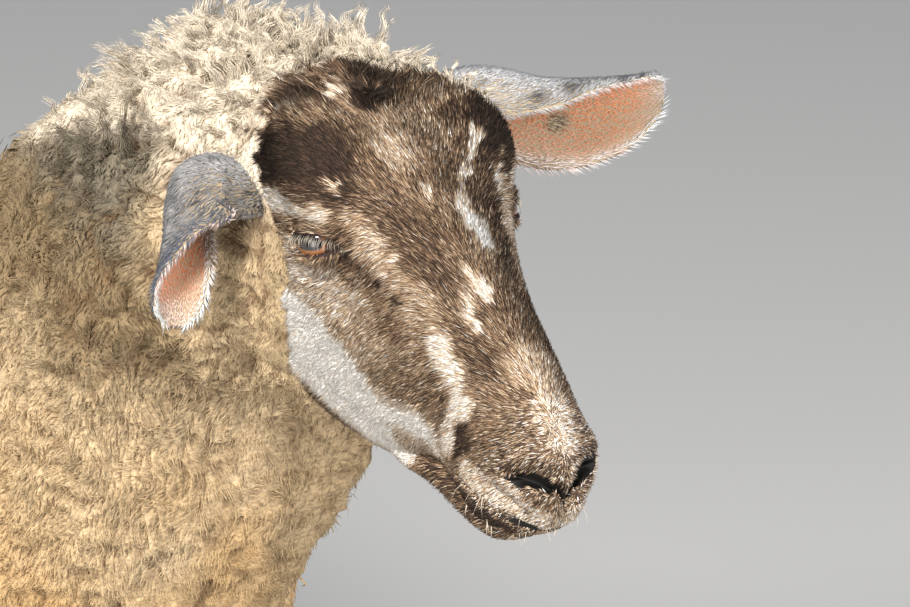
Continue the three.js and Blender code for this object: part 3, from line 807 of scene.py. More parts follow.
IRIS_REACH = 9.6
PUPIL_LENGTH = 8.0
PUPIL_HEIGHT = 3.6
CORNEA_RISE = 1.1
AMBER = np.array((0.24, 0.085, 0.020))
AMBER_DARK = np.array((0.10, 0.035, 0.010))
PUPIL_BLACK = np.array((0.004, 0.004, 0.006))
EYE_WHITE = np.array((0.045, 0.028, 0.020))
# the axis of sight, tilted a little up and lengthwise from the direction in which the lids open
SIGHT = unit(LIDS_OUT + 0.08 * LIDS_LENGTHWISE + 0.24 * LIDS_ACROSS)


def eyeball(side):
    """A ball with a bell-shaped rise at its front; its colour is set by the distance from the axis of
    sight, and the pupil is a level ellipse."""
    polar = np.linspace(0.01, np.pi - 0.01, 90)[:, None]
    angle = full_turn(90)
    level = unit(np.cross(SIGHT, LIDS_ACROSS))
    upright = np.cross(SIGHT, level)
    across = np.sin(polar) * np.cos(angle)
    rise = np.sin(polar) * np.sin(angle)
    radius = EYEBALL + CORNEA_RISE * np.exp(-(polar / 0.62) ** 4) + 0 * angle
    local = (SIGHT * np.cos(polar + 0 * angle)[..., None] + level * across[..., None]
             + upright * rise[..., None]) * radius[..., None]
    grid = from_head((EYE + local) * (1, side, 1))
    reach = EYEBALL * np.sin(np.minimum(polar, np.pi / 2)) + 0 * angle
    rays = 0.5 + 0.5 * np.sin(angle * 34 + 2 * np.sin(angle * 7)) * np.ones_like(polar)
    colour = blended(AMBER_DARK, AMBER, 0.45 + 0.55 * rays * smooth(reach, 3, 8))
    colour = blended(colour, AMBER_DARK * 0.35, smooth(reach, IRIS_REACH - 1.6, IRIS_REACH))
    colour = blended(colour, EYE_WHITE, smooth(reach, IRIS_REACH + 0.3, IRIS_REACH + 1.4))
    slit = (np.abs(across * EYEBALL) / PUPIL_LENGTH) ** 2.6 + (np.abs(rise * EYEBALL) / PUPIL_HEIGHT) ** 2.6
    colour = blended(colour, PUPIL_BLACK, (1 - smooth(slit, 0.8, 1.15)) * (polar < 1.2))
    points, faces = tube(grid)
    colour = np.concatenate((colour.reshape(-1, 3), PUPIL_BLACK[None], EYE_WHITE[None]))
    return points, faces, colour


eye_material = material("moist_eye", 0.12, coat=0.5)
for side, name in ((-1, "eye_right"), (1, "eye_left")):
    points, faces, colour = eyeball(-side)
    ball = new_piece(f"{name}_ball", in_place(points), faces, eye_material, colour)
    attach(ball, "root")
    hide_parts(name)

# -------------------------------------------------------------------- hair
# Short roan hair grows out of the hide of the face and lies nearly flat: back
# and out over nose and forehead, back and down on the temples, down the cheeks.

random = np.random.default_rng(20)
PIECE_LIMIT = 190000
PATCH = 0.003
UNDER_EYE = [(76, -58, -36), (104, -50, -40)]


def scatter(grid, weight, count):
    """Roots spread over a tube: cells are taken at equal steps of the running total of their area
    times weight, and each root lies at a random place in its cell, mixed from the cell's corners.
    Returns the points, the directions out, and the places on the chart."""
    rows, around = grid.shape[0] - 1, grid.shape[1]
    corners = [grid[:-1], np.roll(grid, -1, 1)[:-1], np.roll(grid, -1, 1)[1:], grid[1:]]
    area = np.linalg.norm(np.cross(corners[2] - corners[0], corners[3] - corners[1]), axis=-1)
    total = np.cumsum((area * weight[:-1]).ravel())
    picks = (np.arange(count) + random.random(count)) / count * total[-1]
    cell = np.minimum(np.searchsorted(total, picks), rows * around - 1)
    row, column = np.divmod(cell, around)
    down, over = random.random((2, count, 1))
    shares = ((1 - down) * (1 - over), (1 - down) * over, down * over, down * (1 - over))
    root = sum(share * corner[row, column] for share, corner in zip(shares, corners))
    chart = np.stack(((column + over[:, 0]) / around, (row + down[:, 0]) / rows), -1)
    return root, grid_normals(grid)[row, column], chart


def hairs(root, normal, lie, length, width):
    """Hairs as thin closed wedges of four faces: a small triangle at the root, and a tip along the lie."""
    side = unit(np.cross(lie, normal))
    foot = root - normal * 0.5
    points = np.stack((
        foot - side * width[:, None] / 2,
        foot + side * width[:, None] / 2,
        root + normal * width[:, None] * 0.55,
        root + lie * length[:, None]), 1)
    faces = np.array(((0, 1, 2), (0, 3, 1), (1, 3, 2), (2, 3, 0)))
    return points, faces


def coat(name, points, faces, colours, chart, coat_material, slot, pattern=None):
    """Many like tufts as joined meshes of no more than the limit of triangles each: a copy of the faces
    for each tuft, and each tuft a small patch of the chart at its root's place. A pattern is kept
    as the attribute "strand"."""
    count, corners = points.shape[:2]
    if colours.ndim == 2:
        colours = np.repeat(colours[:, None], corners, 1)
    turn = np.arange(corners) * 2 * np.pi / corners
    patch = np.stack((np.cos(turn), np.sin(turn)), -1) * PATCH / 2
    places = np.clip(chart, PATCH, 1 - PATCH)[:, None] + patch[None]
    share = int(PIECE_LIMIT // len(faces))
    for number, start in enumerate(range(0, count, share), 1):
        part = slice(start, start + share)
        tufts = points[part]
        all_faces = (faces[None] + corners * np.arange(len(tufts))[:, None, None]).reshape(-1, 3)
        piece = new_piece(f"{name}_{number}", in_place(tufts.reshape(-1, 3)), all_faces, coat_material,
                          colours[part].reshape(-1, 3), places[part].reshape(-1, 2))
        if pattern is not None:
            set_attribute(piece.data, "strand", pattern[part])
        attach(piece, "root")


def face_lie(head):
    """Where the face's hair points, in head axes: back and out over the nose and forehead, back and down
    on the temples, down and a little back on the cheeks, and down and out round the muzzle."""
    forward, left, up = np.moveaxis(head, -1, 0)
    outward_side = np.tanh(left / 9)
    top = smooth(-np.abs(left), -40, -22) * smooth(up, -30, -5)
    temple = (1 - smooth(forward, 78, 112)) * smooth(up, -56, -40) * (1 - top)
    muzzle = smooth(forward, 205, 228)
    cheek = np.clip(1 - top - temple, 0, 1) * (1 - muzzle)
    one, zero = np.ones_like(up), np.zeros_like(up)
    lie = (top * (1 - muzzle))[..., None] * np.stack((-0.93 * one, 0.36 * outward_side, -0.1 * one), -1)
    lie = lie + temple[..., None] * np.stack((-0.8 * one, 0.35 * outward_side, -0.46 * one), -1)
    lie = lie + cheek[..., None] * np.stack((-0.3 * one, zero, -0.94 * one), -1)
    lie = lie + muzzle[..., None] * np.stack((-0.35 * one, 0.45 * outward_side, -0.76 * one), -1)
    return unit(lie)


def laid(flow, normal, lift, scatter_by):
    """A flow brought onto the surface and raised off it, each hair turned a little at random."""
    flow = flow + random.normal(0, scatter_by, flow.shape)
    flat = unit(flow - normal * np.sum(flow * normal, -1, keepdims=True))
    return unit(flat + normal * lift[:, None])


def laid_hairs(root, normal, flow, length, lift, lift_more, scatter_by, width, width_more):
    """Hairs laid along a flow: each is raised by the lift and as wide as the width, and by as much more
    of each as chance gives it."""
    lie = laid(flow, normal, lift + lift_more * random.random(len(root)), scatter_by)
    return hairs(root, normal, lie, length, width + width_more * random.random(len(root)))


def cells(chart, grid):
    """The row and the column of the grid's cell in which each place on its chart lies."""
    rows, around = grid.shape[0] - 1, grid.shape[1]
    row = np.minimum((chart[:, 1] * rows).astype(int), rows - 1)
    column = np.minimum((chart[:, 0] * around).astype(int), around - 1)
    return row, column


def roan_hairs(head):
    """A colour for each hair: the tone of its place, lighter or darker at random, most of all on the
    muzzle and round the eyes; the random spread is partly the roan mix and partly painted shade between
    hairs."""
    folded = right_side(head)
    speckle = np.maximum(smooth(head[:, 0], 214, 232), streak(folded, UNDER_EYE, 12))
    tone = face_tone(head)
    pale = smooth(tone, 0.7, 0.9)
    clean = smooth(tone, 0.88, 0.97)
    # Partly painted shade: the spread stands both for the roan mix and for the shade between the hairs.
    uneven = (0.21 + 0.09 * speckle) * (0.5 + 0.5 * smooth(tone, 0, 0.25)) * (1 - 0.6 * clean)
    tone = tone - 0.06 * pale * (1 - clean) + random.normal(0, 1, len(head)) * uneven
    return tone_colour(np.clip(tone, 0.02, 1))


hair_material = material("short_hair", 0.7, specular=0.2)
FACE_HAIRS = 110000
head_grid = hide_form[head_rows]
head_points = to_head(head_grid)
head_folded = right_side(head_points)
bare = np.maximum(nostril(head_points, 4.8), streak(head_folded, MOUTH_LINE, 3.2))
eye_local = (head_folded - EYE) @ LID_AXES.T
eye_open = lids_shape(eye_local[..., 0], eye_local[..., 1]) > -1.4
eye_open = eye_open & (np.abs(eye_local[..., 0]) < 22) & (eye_local[..., 2] > -4) & (eye_local[..., 2] < 30)
seen = np.where(head_points[..., 1] < 12, 1.0, 0.5) * np.where(head_points[..., 2] < -95, 0.6, 1.0)
hair_weight = seen * (1 - wool_share(head_points)) * (1 - smooth(bare, 0.4, 0.7)) * (1 - eye_open)
root, normal, chart = scatter(head_grid, hair_weight, FACE_HAIRS)
root_head = to_head(root)
on_crown = 1 - smooth(root_head[:, 0], 15, 60)
short = 1 - 0.45 * smooth(root_head[:, 0], 190, 240) + 0.8 * on_crown
short = short * (1 - 0.55 * streak(right_side(root_head), MOUTH_LINE, 6))
length = (4.8 + random.normal(0, 0.8, len(root))) * short
flow = face_lie(root_head) + drift(root_head, 9, 21) * (0.3 + 2.2 * on_crown)[:, None]
points, faces = laid_hairs(root, normal, flow @ HEAD_AXES, length, lift=0.30 + 0.25 * on_crown,
                           lift_more=0.1, scatter_by=0.10, width=0.44, width_more=0.18)
coat("face_hair", points, faces, roan_hairs(root_head), chart, hair_material, "face")

# --------------------------------------------------- hair of jaw, ears, legs
# The same short hair on the jaw; on the ears it lies towards the tip and stands
# out as a fringe at the rims, with thin fuzz in the hollow; on the legs, below
# knee and hock, it points down and is longer and coarser.

JAW_HAIRS = 9000
EAR_HAIRS = 12000
LEG_HAIRS = 5000
# place along the ear, place over the leaf, length and breadth of each spot on the back
EAR_SPOTS = {
    "left": [(0.24, -0.85, 0.03, 0.12), (0.37, -0.80, 0.04, 0.15), (0.59, -0.96, 0.03, 0.10),
             (0.69, -0.98, 0.03, 0.10)],
    "right": [(0.13, -0.67, 0.03, 0.10)],
}
EAR_BACK = {"left": 0.85, "right": 0.42}
INSIDE_SPOT = (0.49, 0.39, 0.035, 0.16)
BLUE_GREY = np.array((0.115, 0.125, 0.155))
EAR_DARK = np.array((0.040, 0.042, 0.050))
EAR_LIGHT = np.array((0.58, 0.57, 0.57))
LEG_CREAM = np.array((0.66, 0.57, 0.44))
DOWN = np.array((0.0, 0.0, -1.0))


def ear_colour(name, root, along_ear, q, on_back):
    """Grey roan hair on an ear's back with dark spots and, on the right ear, a blue-grey band of painted
    shade along one rim, and white fuzz over pink skin in its hollow, white at the rims and the tip. q runs
    over the leaf from rim to rim, from -1 to 1."""
    rim = smooth(np.abs(q), 0.72, 0.95)
    mottle = cloudy(root, 6, 31) + random.normal(0, 0.55, len(root))
    back_tone = EAR_BACK[name] + 0.20 * mottle - 0.1 * rim
    spotted = 0
    for place, over, reach, breadth in EAR_SPOTS[name]:
        spotted = spotted + np.exp(-((along_ear - place) / reach) ** 2 - ((q - over) / breadth) ** 2)
    back_tone = np.clip(back_tone * (1 - 0.85 * np.clip(spotted, 0, 1)), 0.02, 1)
    back = blended(EAR_DARK, EAR_LIGHT, back_tone)
    # Painted shade: on the right ear a blue-grey band along one rim of the back.
    shade_band = (name == "right") * smooth(-q, 0.55, 0.8) * smooth(along_ear, 0.15, 0.3)
    back = blended(back, BLUE_GREY, shade_band * (random.random(len(root)) < 0.8))
    fuzz = 0.02 + 0.7 * rim + 0.7 * smooth(along_ear, 0.68, 0.95) + 0.12 * mottle + 0.12 * smooth(q, 0.2, 0.8)
    inside = blended(SKIN_PINK, TONE_COLOURS[4] * 0.8, np.clip(fuzz, 0, 1))
    place, over, reach, breadth = INSIDE_SPOT
    ink = np.exp(-(((along_ear - place) / reach) ** 2 + ((q - over) / breadth) ** 2) ** 2) * (name == "left")
    inside = blended(inside, BLUE_GREY * 0.2, ink)
    return np.where(on_back[:, None], back, inside)


jaw_grid = LIMBS["jaw"]
root, normal, chart = scatter(jaw_grid, np.ones(jaw_grid.shape[:2]), JAW_HAIRS)
root_head = to_head(root)
length = 4.2 + random.normal(0, 0.6, len(root))
points, faces = laid_hairs(root, normal, face_lie(root_head) @ HEAD_AXES, length, lift=0.3,
                           lift_more=0.1, scatter_by=0.12, width=0.6, width_more=0.2)
coat("jaw_hair", points, faces, roan_hairs(root_head), chart, hair_material, "jaw")

for side, name in ((1, "left"), (-1, "right")):
    ear_grid = LIMBS[f"ear_{name}"]
    half_around = ear_grid.shape[1] / 2
    root, normal, chart = scatter(ear_grid, np.ones(ear_grid.shape[:2]), EAR_HAIRS)
    tipward = np.gradient(ear_grid, axis=0)
    row, column = cells(chart, ear_grid)
    on_back = column < half_around
    q = np.where(on_back, column / half_around, 2 - column / half_around) * 2 - 1
    rim = smooth(np.abs(q), 0.82, 0.98)
    flow = unit(tipward[row, column])
    length = np.where(on_back, 4.5, 2.2 + 3.5 * rim) * (1 + random.normal(0, 0.15, len(root)))
    points, faces = laid_hairs(root, normal, flow, length, lift=0.25 + 0.5 * rim, lift_more=0.1,
                               scatter_by=0.18, width=0.5, width_more=0.2)
    colour = ear_colour(name, root, chart[:, 1], q, on_back)
    coat(f"ear_hair_{name}", points, faces, colour, chart, hair_material, "ear")

for leg in FEET:
    for side, name in ((1, "left"), (-1, "right")):
        leg_grid = LIMBS[f"{leg}_{name}"]
        leg_weight = 1 - smooth(leg_grid[..., 2], LEG_WOOL_FROM + 20, LEG_WOOL_FULL)
        leg_weight = leg_weight * smooth(leg_grid[..., 2], 36, 40)
        root, normal, chart = scatter(leg_grid, leg_weight, LEG_HAIRS)
        length = 6.5 + random.normal(0, 1.0, len(root))
        flow = np.broadcast_to(DOWN, root.shape)
        points, faces = laid_hairs(root, normal, flow, length, lift=0.22, lift_more=0.12,
                                   scatter_by=0.12, width=1.0, width_more=0.3)
        brown = 0.35 + 0.6 * cloudy(root, 22, 41 + side)
        colour = np.where((random.random(len(root)) < brown)[:, None], TONE_COLOURS[1], LEG_CREAM)
        colour = np.clip(colour * (1 + random.normal(0, 0.12, (len(root), 1))), 0, 1)
        coat(f"{leg}_hair_{name}", points, faces, colour, chart, hair_material, "leg")

# ------------------------------------------------------------------ fleece
# A half-grown fleece of crimped cream wool, rooted in the hide: clumps that part
# on neck and trunk, loose wisps at their tips, curling staples along the crest
# of the neck, and thinner wisps on the upper legs and the tail.

BED_DEPTH = 9
EDGE_DEPTH = 2.6
CLUMP_HEIGHT = 9.5
DIVE = 7
BED_SEAM = 8
BED_TO = 18
# painted shade: the dark tan in the creases between the fleece's clumps
WOOL_CREASE_SHADE = np.array((0.16, 0.095, 0.048))
WARM_WOOL = np.array((0.60, 0.395, 0.19))
TAN_WOOL = np.array((0.27, 0.195, 0.11))
GREY_WOOL = np.array((0.19, 0.16, 0.115))
# painted sunlight: the paler cream of the top of the neck
SUNLIT_CREST_WOOL = np.array((0.84, 0.73, 0.58))
CREST_FROM = (330, 380, 445, 500)
CREST_FOOT = (832, 857, 877, 884)
# about how many fibres lie in a millimetre, how far the crimp bends them and how deep their grooves look
FIBRES = (("Fibres", 1.6), ("Crimp", 0.35), ("Depth", 0.5))
# length and swing of one wave of a staple's crimp
CRIMP_LENGTH = 11
CRIMP_SWING = 1.3
# angle from strand to strand round a staple, and from corner to corner round a strand
STRAND_TURN = 2.4
CORNER_TURN = 2.0944
# share of a wisp's length at which it bends, and what is left of its width there
KNEE_AT = 0.45
KNEE_WIDTH = 0.84


def border_at(points, t):
    """How far behind the wool's edge points of station t lie; neck and trunk lie far behind it."""
    return np.where(t < NECK_END, FAR_BEHIND, behind_border(to_head(points)))


def relief(points, t):
    """The height of the fleece's clumps from 0 to 1: round swellings with sharp creases between them,
    which are the size of cloudy noise without its sign, at three sizes. On the neck they are a
    finger wide, drawn out downwards low on it, and on the trunk they are twice that."""
    size = 1 + 0.9 * (1 - smooth(t, 6, 8.5))
    drawn = np.ones_like(points)
    drawn[..., 2] = 0.5 + 0.5 * smooth(points[..., 2], 600, 760)
    place = points * drawn / size[..., None]
    place = place + drift(place, 16, 61) * 5
    large, middle, small = (np.abs(cloudy(place, size, seed)) for size, seed in ((17, 64), (8, 65), (4, 66)))
    return np.clip(0.95 * np.sqrt(large) + 0.45 * middle + 0.25 * small - 0.12, 0, 1.2)


def fleece_bed(stations, angles):
    """The mass of the fleece under its loose tips: the outer form sunk by the depth of the tips and
    raised again by the clumps. In front of the wool's edge it dives under the hide. Returns the
    grid, its stations and angles, how woolly it is, and the clumps' height."""
    t, angle = np.meshgrid(stations, angles, indexing="ij")
    form, out = body(t, angle)
    border = border_at(form, t)
    woolly = smooth(border, -4, 6)
    clumps = relief(form, t)
    full = smooth(border, 0, 45)
    deep = EDGE_DEPTH + (BED_DEPTH - EDGE_DEPTH) * full - CLUMP_HEIGHT * clumps * (0.15 + 0.85 * full)
    deep = np.minimum(deep, 0.3 * along(SPINE, t)[..., 4])
    deep = deep * woolly + DIVE * (1 - woolly)
    return form - out * deep[..., None], t, angle, woolly, clumps


def fibre_pattern():
    """A shader group for wool: noise drawn out along each strand, whose lines are bent to and fro by the
    crimp. It puts out a colour share and a normal."""
    group = bpy.data.node_groups.new("crimped_fibres", "ShaderNodeTree")
    for name, value in FIBRES:
        group.interface.new_socket(name, in_out="INPUT", socket_type="NodeSocketFloat").default_value = value
    group.interface.new_socket("Share", in_out="OUTPUT", socket_type="NodeSocketFloat")
    group.interface.new_socket("Normal", in_out="OUTPUT", socket_type="NodeSocketVector")
    nodes, links = group.nodes, group.links
    given, result = nodes.new("NodeGroupInput"), nodes.new("NodeGroupOutput")
    strand = nodes.new("ShaderNodeAttribute")
    strand.attribute_name = "strand"
    parts = nodes.new("ShaderNodeSeparateXYZ")
    wave, swing, across, lengthwise = (nodes.new("ShaderNodeMath") for _ in range(4))
    wave.operation = "SINE"
    swing.operation = "MULTIPLY_ADD"
    across.operation = lengthwise.operation = "MULTIPLY"
    lengthwise.inputs[1].default_value = 0.12
    place = nodes.new("ShaderNodeCombineXYZ")
    noise = nodes.new("ShaderNodeTexNoise")
    noise.inputs["Scale"].default_value = 1.0
    noise.inputs["Detail"].default_value = 1.5
    bump = nodes.new("ShaderNodeBump")
    bump.inputs["Distance"].default_value = 0.0012
    links.new(strand.outputs["Vector"], parts.inputs[0])
    links.new(parts.outputs["Y"], wave.inputs[0])
    links.new(wave.outputs[0], swing.inputs[0])
    links.new(given.outputs["Crimp"], swing.inputs[1])
    links.new(parts.outputs["X"], swing.inputs[2])
    links.new(swing.outputs[0], across.inputs[0])
    links.new(given.outputs["Fibres"], across.inputs[1])
    links.new(parts.outputs["Y"], lengthwise.inputs[0])
    links.new(across.outputs[0], place.inputs["X"])
    links.new(lengthwise.outputs[0], place.inputs["Y"])
    links.new(parts.outputs["Z"], place.inputs["Z"])
    links.new(place.outputs[0], noise.inputs["Vector"])
    links.new(noise.outputs["Fac"], bump.inputs["Height"])
    links.new(given.outputs["Depth"], bump.inputs["Strength"])
    links.new(noise.outputs["Fac"], result.inputs["Share"])
    links.new(bump.outputs["Normal"], result.inputs["Normal"])
    return group


def wool_finish():
    """Wool: the lock's colour, darkened between its fibres as painted shade, soft and without gloss."""
    made = material("wool", 0.9, specular=0.15)
    nodes, links = made.node_tree.nodes, made.node_tree.links
    shader = nodes["Principled BSDF"]
    pattern = nodes.new("ShaderNodeGroup")
    pattern.node_tree = fibre_pattern()
    for name, value in FIBRES:
        pattern.inputs[name].default_value = value
    # Painted shade: where the fibre pattern is low, between the fibres, the colour is darkened to 0.55.
    ramp = nodes.new("ShaderNodeMapRange")
    for name, value in (("From Min", 0.32), ("From Max", 0.62), ("To Min", 0.55), ("To Max", 1.08)):
        ramp.inputs[name].default_value = value
    tint = nodes.new("ShaderNodeVectorMath")
    tint.operation = "SCALE"
    shade = next(node for node in nodes if node.type == "ATTRIBUTE")
    links.new(pattern.outputs["Share"], ramp.inputs["Value"])
    links.new(shade.outputs["Color"], tint.inputs[0])
    links.new(ramp.outputs["Result"], tint.inputs["Scale"])
    links.new(tint.outputs["Vector"], shader.inputs["Base Color"])
    links.new(pattern.outputs["Normal"], shader.inputs["Normal"])
    return made


wool_material = wool_finish()


def wool_tint(points):
    """The colour of the tips at each place: warm cream low on the neck, tan along its side, grey high on it,
    and paler cream along the crest and behind the ears as painted sunlight on the top, all in cloudy patches.
    It is darker tan at the wool's edge behind the cheeks and on the left of the throat, painted shade of ear
    and jaw."""
    forward, height = points[..., 0], points[..., 2]
    cloudy_shift = cloudy(points, 40, 53)
    back = 1 - smooth(forward + 8 * cloudy_shift, 500, 530)
    warm = np.clip(0.55 + 0.6 * cloudy_shift, 0, 1) * (1 - smooth(height, 620, 760))
    tan = back * smooth(height + 20 * cloudy_shift, 715, 790)
    grey = back * smooth(height + 14 * cloudy_shift, 806, 850)
    crest_foot = np.interp(forward, CREST_FROM, CREST_FOOT)
    # Painted sunlight: the crest of the neck and the wool behind the ears are paler, as lit from above.
    crest = np.maximum(smooth(height + 5 * cloudy_shift - crest_foot, -9, 9),
                       smooth(forward, 505, 535) * smooth(height, 845, 890))
    # Painted shade: the wool's edge behind the cheeks, shaded by the ear, and the left of the throat, shaded
    # by the jaw, go darker tan.
    ear_shadow = 1 - smooth(behind_border(to_head(points)), 4, 34)
    ear_shadow = ear_shadow * smooth(forward, 520, 550) * (1 - smooth(height, 860, 890))
    throat_shadow = smooth(points[..., 1], 0, 40) * smooth(forward, 400, 440) * (1 - smooth(height, 700, 780))
    painted_shade = np.maximum(0.6 * ear_shadow, 0.7 * throat_shadow)
    tint = CREAM_WOOL
    for share, colour in ((warm, WARM_WOOL), (tan, TAN_WOOL), (grey, GREY_WOOL), (crest, SUNLIT_CREST_WOOL),
                          (painted_shade, TAN_WOOL)):
        tint = blended(tint, colour, share)
    return tint


def clump_colour(clumps, points):
    """The tip's colour on the crowns of the clumps and a darker tan in the creases as painted shade, which
    shows most on the neck.
    """
    shown = 0.3 + 0.7 * smooth(points[..., 0], 300, 400)
    # Painted shade: the creases between the clumps are taken towards a dark tan.
    raised = 1 - (1 - smooth(clumps, -0.05, 0.7)) * shown
    tone = 0.95 + 0.08 * cloudy(points, 9, 51)[..., None]
    return np.clip(blended(WOOL_CREASE_SHADE, wool_tint(points), raised) * tone, 0, 1)


right_angles = np.linspace(np.pi, 2 * np.pi, 190)
left_angles = np.linspace(0, np.pi, 70, endpoint=False)
neck_bed = fleece_bed(np.linspace(BED_SEAM, BED_TO, 205), np.concatenate((left_angles, right_angles[:-1])))
body_bed = fleece_bed(np.linspace(0, BED_SEAM + 0.3, 160), full_turn(150)[0])
for name, (grid, t, angle, _, clumps) in (("neck", neck_bed), ("body", body_bed)):
    points, faces = tube(grid)
    colour = clump_colour(clumps, grid).reshape(-1, 3)
    colour = np.concatenate((colour, CREAM_WOOL[None], CREAM_WOOL[None]))
    chart = np.stack((angle / (2 * np.pi), t / BED_TO), -1).reshape(-1, 2)
    chart = np.concatenate((chart, ((0.5, t[0, 0] / BED_TO), (0.5, t[-1, 0] / BED_TO))))
    bed = new_piece(f"{name}_fleece", in_place(points), faces, wool_material, colour, chart)
    set_attribute(bed.data, "strand", points * (1.0, 1.0, 0.5))
    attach(bed, "root")


def wool_fall(root, normal):
    """Where staples fall: down and a little back, swirled in patches, most of all high on the neck."""
    wild = 0.5 + 1.1 * smooth(root[:, 2], 600, 800)
    flow = np.array((-0.30, 0, -1.0)) + 0.25 * np.sign(root[:, 1:2]) * LEFT
    flow = flow + drift(root, 17, 71) * 1.6 * wild[:, None] + random.normal(0, 0.10, root.shape)
    return unit(flow - normal * np.sum(flow * normal, -1, keepdims=True))


def staples(root, normal, fall, length, width, bend, steps, strands, thickness):
    """Staples of wool, each a few tapered three-sided strands side by side. A staple starts along the
    normal and turns over towards its fall by an equal angle at each step, up to its bend, while the crimp
    swings it sideways; its strands draw together towards the tip. Returns the strands' points, their
    faces, the share of the length at each point, and the numbers of fibre pattern there."""
    count = len(root)
    share = np.linspace(0, 1, steps + 1)[None, :, None]
    side = unit(np.cross(fall, normal))[:, None]
    angle = 0.1 + (bend[:, None, None] - 0.1) * share
    stride = length[:, None, None] / steps
    heading = normal[:, None] * np.cos(angle) + fall[:, None] * np.sin(angle)
    centre = np.cumsum(heading * stride, 1) - heading[:, :1] * stride
    phase = 2 * np.pi * cloudy(root, 9, 77)[:, None, None]
    turns = length[:, None, None] * share * 2 * np.pi / CRIMP_LENGTH + phase
    swing = CRIMP_SWING * np.minimum(share * 2.5, 1)
    centre = root[:, None] + centre + side * np.sin(turns) * swing
    centre = centre + np.cross(side, heading) * np.cos(turns) * swing * 0.6
    centre = np.repeat(centre[:, None], strands, 1)
    about = (np.arange(strands) * STRAND_TURN + random.random((count, 1)) * 6.28)[..., None, None]
    aside = np.sqrt((np.arange(strands) + 0.35) / strands)[None, :, None, None]
    aside = aside * width[:, None, None, None] / 2
    gather = 1 - 0.75 * share[:, None]
    crosswise = np.cross(side, heading)[:, None]
    centre = centre + (side[:, None] * np.cos(about) + crosswise * np.sin(about)) * aside * gather
    stray = random.normal(0, 0.35, (count, strands, 1, 3)) * share[:, None] ** 1.5 * 2.2
    centre = (centre + stray).reshape(-1, steps + 1, 3)
    tangent = unit(np.gradient(centre, axis=1))
    leaning = np.repeat(side, strands, 0) * 0.4 + np.repeat(normal, strands, 0)[:, None]
    level = unit(np.cross(tangent, leaning))
    upright = np.cross(level, tangent)
    radius = thickness / 2 * (1 - 0.8 * share ** 2.5) * np.minimum(0.5 + share * 3, 1)
    corners = [centre + radius * (level * np.cos(turn) + upright * np.sin(turn))
               for turn in np.arange(3) * CORNER_TURN]
    rings = np.stack(corners, 2)[:, :steps].reshape(-1, steps * 3, 3)
    points = np.concatenate((rings, centre[:, steps:]), 1)
    ring, corner = np.arange(steps - 1)[:, None] * 3, np.arange(3)[None]
    a, b = ring + corner, ring + (corner + 1) % 3
    last = (steps - 1) * 3
    tips = np.stack((last + corner[0], last + (corner[0] + 1) % 3, np.full(3, steps * 3)), -1)
    faces = np.concatenate((
        np.stack((a, b, b + 3), -1).reshape(-1, 3), np.stack((a, b + 3, a + 3), -1).reshape(-1, 3),
        tips, ((0, 2, 1),)))
    place = np.append(np.repeat(share[0, :steps, 0], 3), 1.0)
    around = np.append(np.tile(np.arange(3.0), steps), 1.0) * thickness * 0.6
    total = np.repeat(length, strands)[:, None]
    pattern = np.stack((around[None] + 0 * total, place[None] * total,
                        np.arange(len(total))[:, None] * 0.77 + 0 * place[None]), -1)
    return points, faces, place, pattern


def tufts(root, normal, rise, fall, length, width):
    """Closed three-sided wisps bent once: a triangle at the root, a narrower one where the rise ends, and a
    tip along the fall."""
    side = unit(np.cross(rise, normal))
    length, width = length[:, None], width[:, None]
    foot = root - normal * 1.0
    knee = root + rise * length * KNEE_AT
    tip = knee + fall * length * (1 - KNEE_AT)
    ridge = unit(np.cross(side, rise))
    points = np.stack((
        foot - side * width / 2, foot + side * width / 2, root + normal * width * 0.5,
        knee - side * width * KNEE_WIDTH / 2,
        knee + side * width * KNEE_WIDTH / 2,
        knee + ridge * width * 0.5,
        tip), 1)
    faces = np.array(((0, 1, 2), (0, 3, 4), (0, 4, 1), (1, 4, 5), (1, 5, 2), (2, 5, 3), (2, 3, 0),
                      (3, 6, 4), (4, 6, 5), (5, 6, 3)))
    return points, faces


def wisps(name, bed, weight, count, length, width, swirl):
    """The loose tips of the fleece: wisps that rise from the clumps and fall over, swirled in patches."""
    grid, t, _, _, clumps = bed
    root, normal, chart = scatter(grid, weight, count)
    row, column = cells(chart, grid)
    fall = wool_fall(root, normal)
    side = unit(np.cross(fall, normal))
    turn = (swirl * cloudy(root, 11, 91))[:, None]
    lift = 0.10 + 0.35 * random.random((count, 1))
    rise = unit(fall * np.cos(turn) + side * np.sin(turn) + normal * (lift + 0.2))
    fall = unit(fall * np.cos(turn) - side * np.sin(turn) + normal * (lift - 0.35))
    border = border_at(root, t[row, column])
    length = length * (0.45 + 0.55 * smooth(border, 0, 45)) * (1 + random.normal(0, 0.18, count))
    points, faces = tufts(root, normal, rise, fall, length, width * (0.8 + 0.4 * random.random(count)))
    colour = clump_colour(clumps[row, column] + 0.05, root)
    colour = np.clip(colour * (1 + random.normal(0, 0.05, (count, 1))), 0, 1)
    pattern = points - root[:, None]
    chart[:, 1] = t[row, column] / BED_TO
    coat(name, points, faces, colour, chart, wool_material, "fleece", pattern)


NECK_WISPS = 33000
BODY_WISPS = 12500
CREST_STAPLES = 420
CREST_STRANDS = 9
CREST_STEPS = 6
STRAND_THICKNESS = 0.45
_, _, angle, woolly, clumps = neck_bed
seen_side = np.where(np.sin(angle) < 0.35, 1.0, 0.3)
wisps("neck_wisps", neck_bed, woolly * seen_side * (0.25 + clumps), NECK_WISPS, 8.0, 0.5, 1.1)
_, _, _, woolly, clumps = body_bed
wisps("body_wisps", body_bed, woolly * (0.5 + clumps), BODY_WISPS, 18.0, 1.8, 1.1)

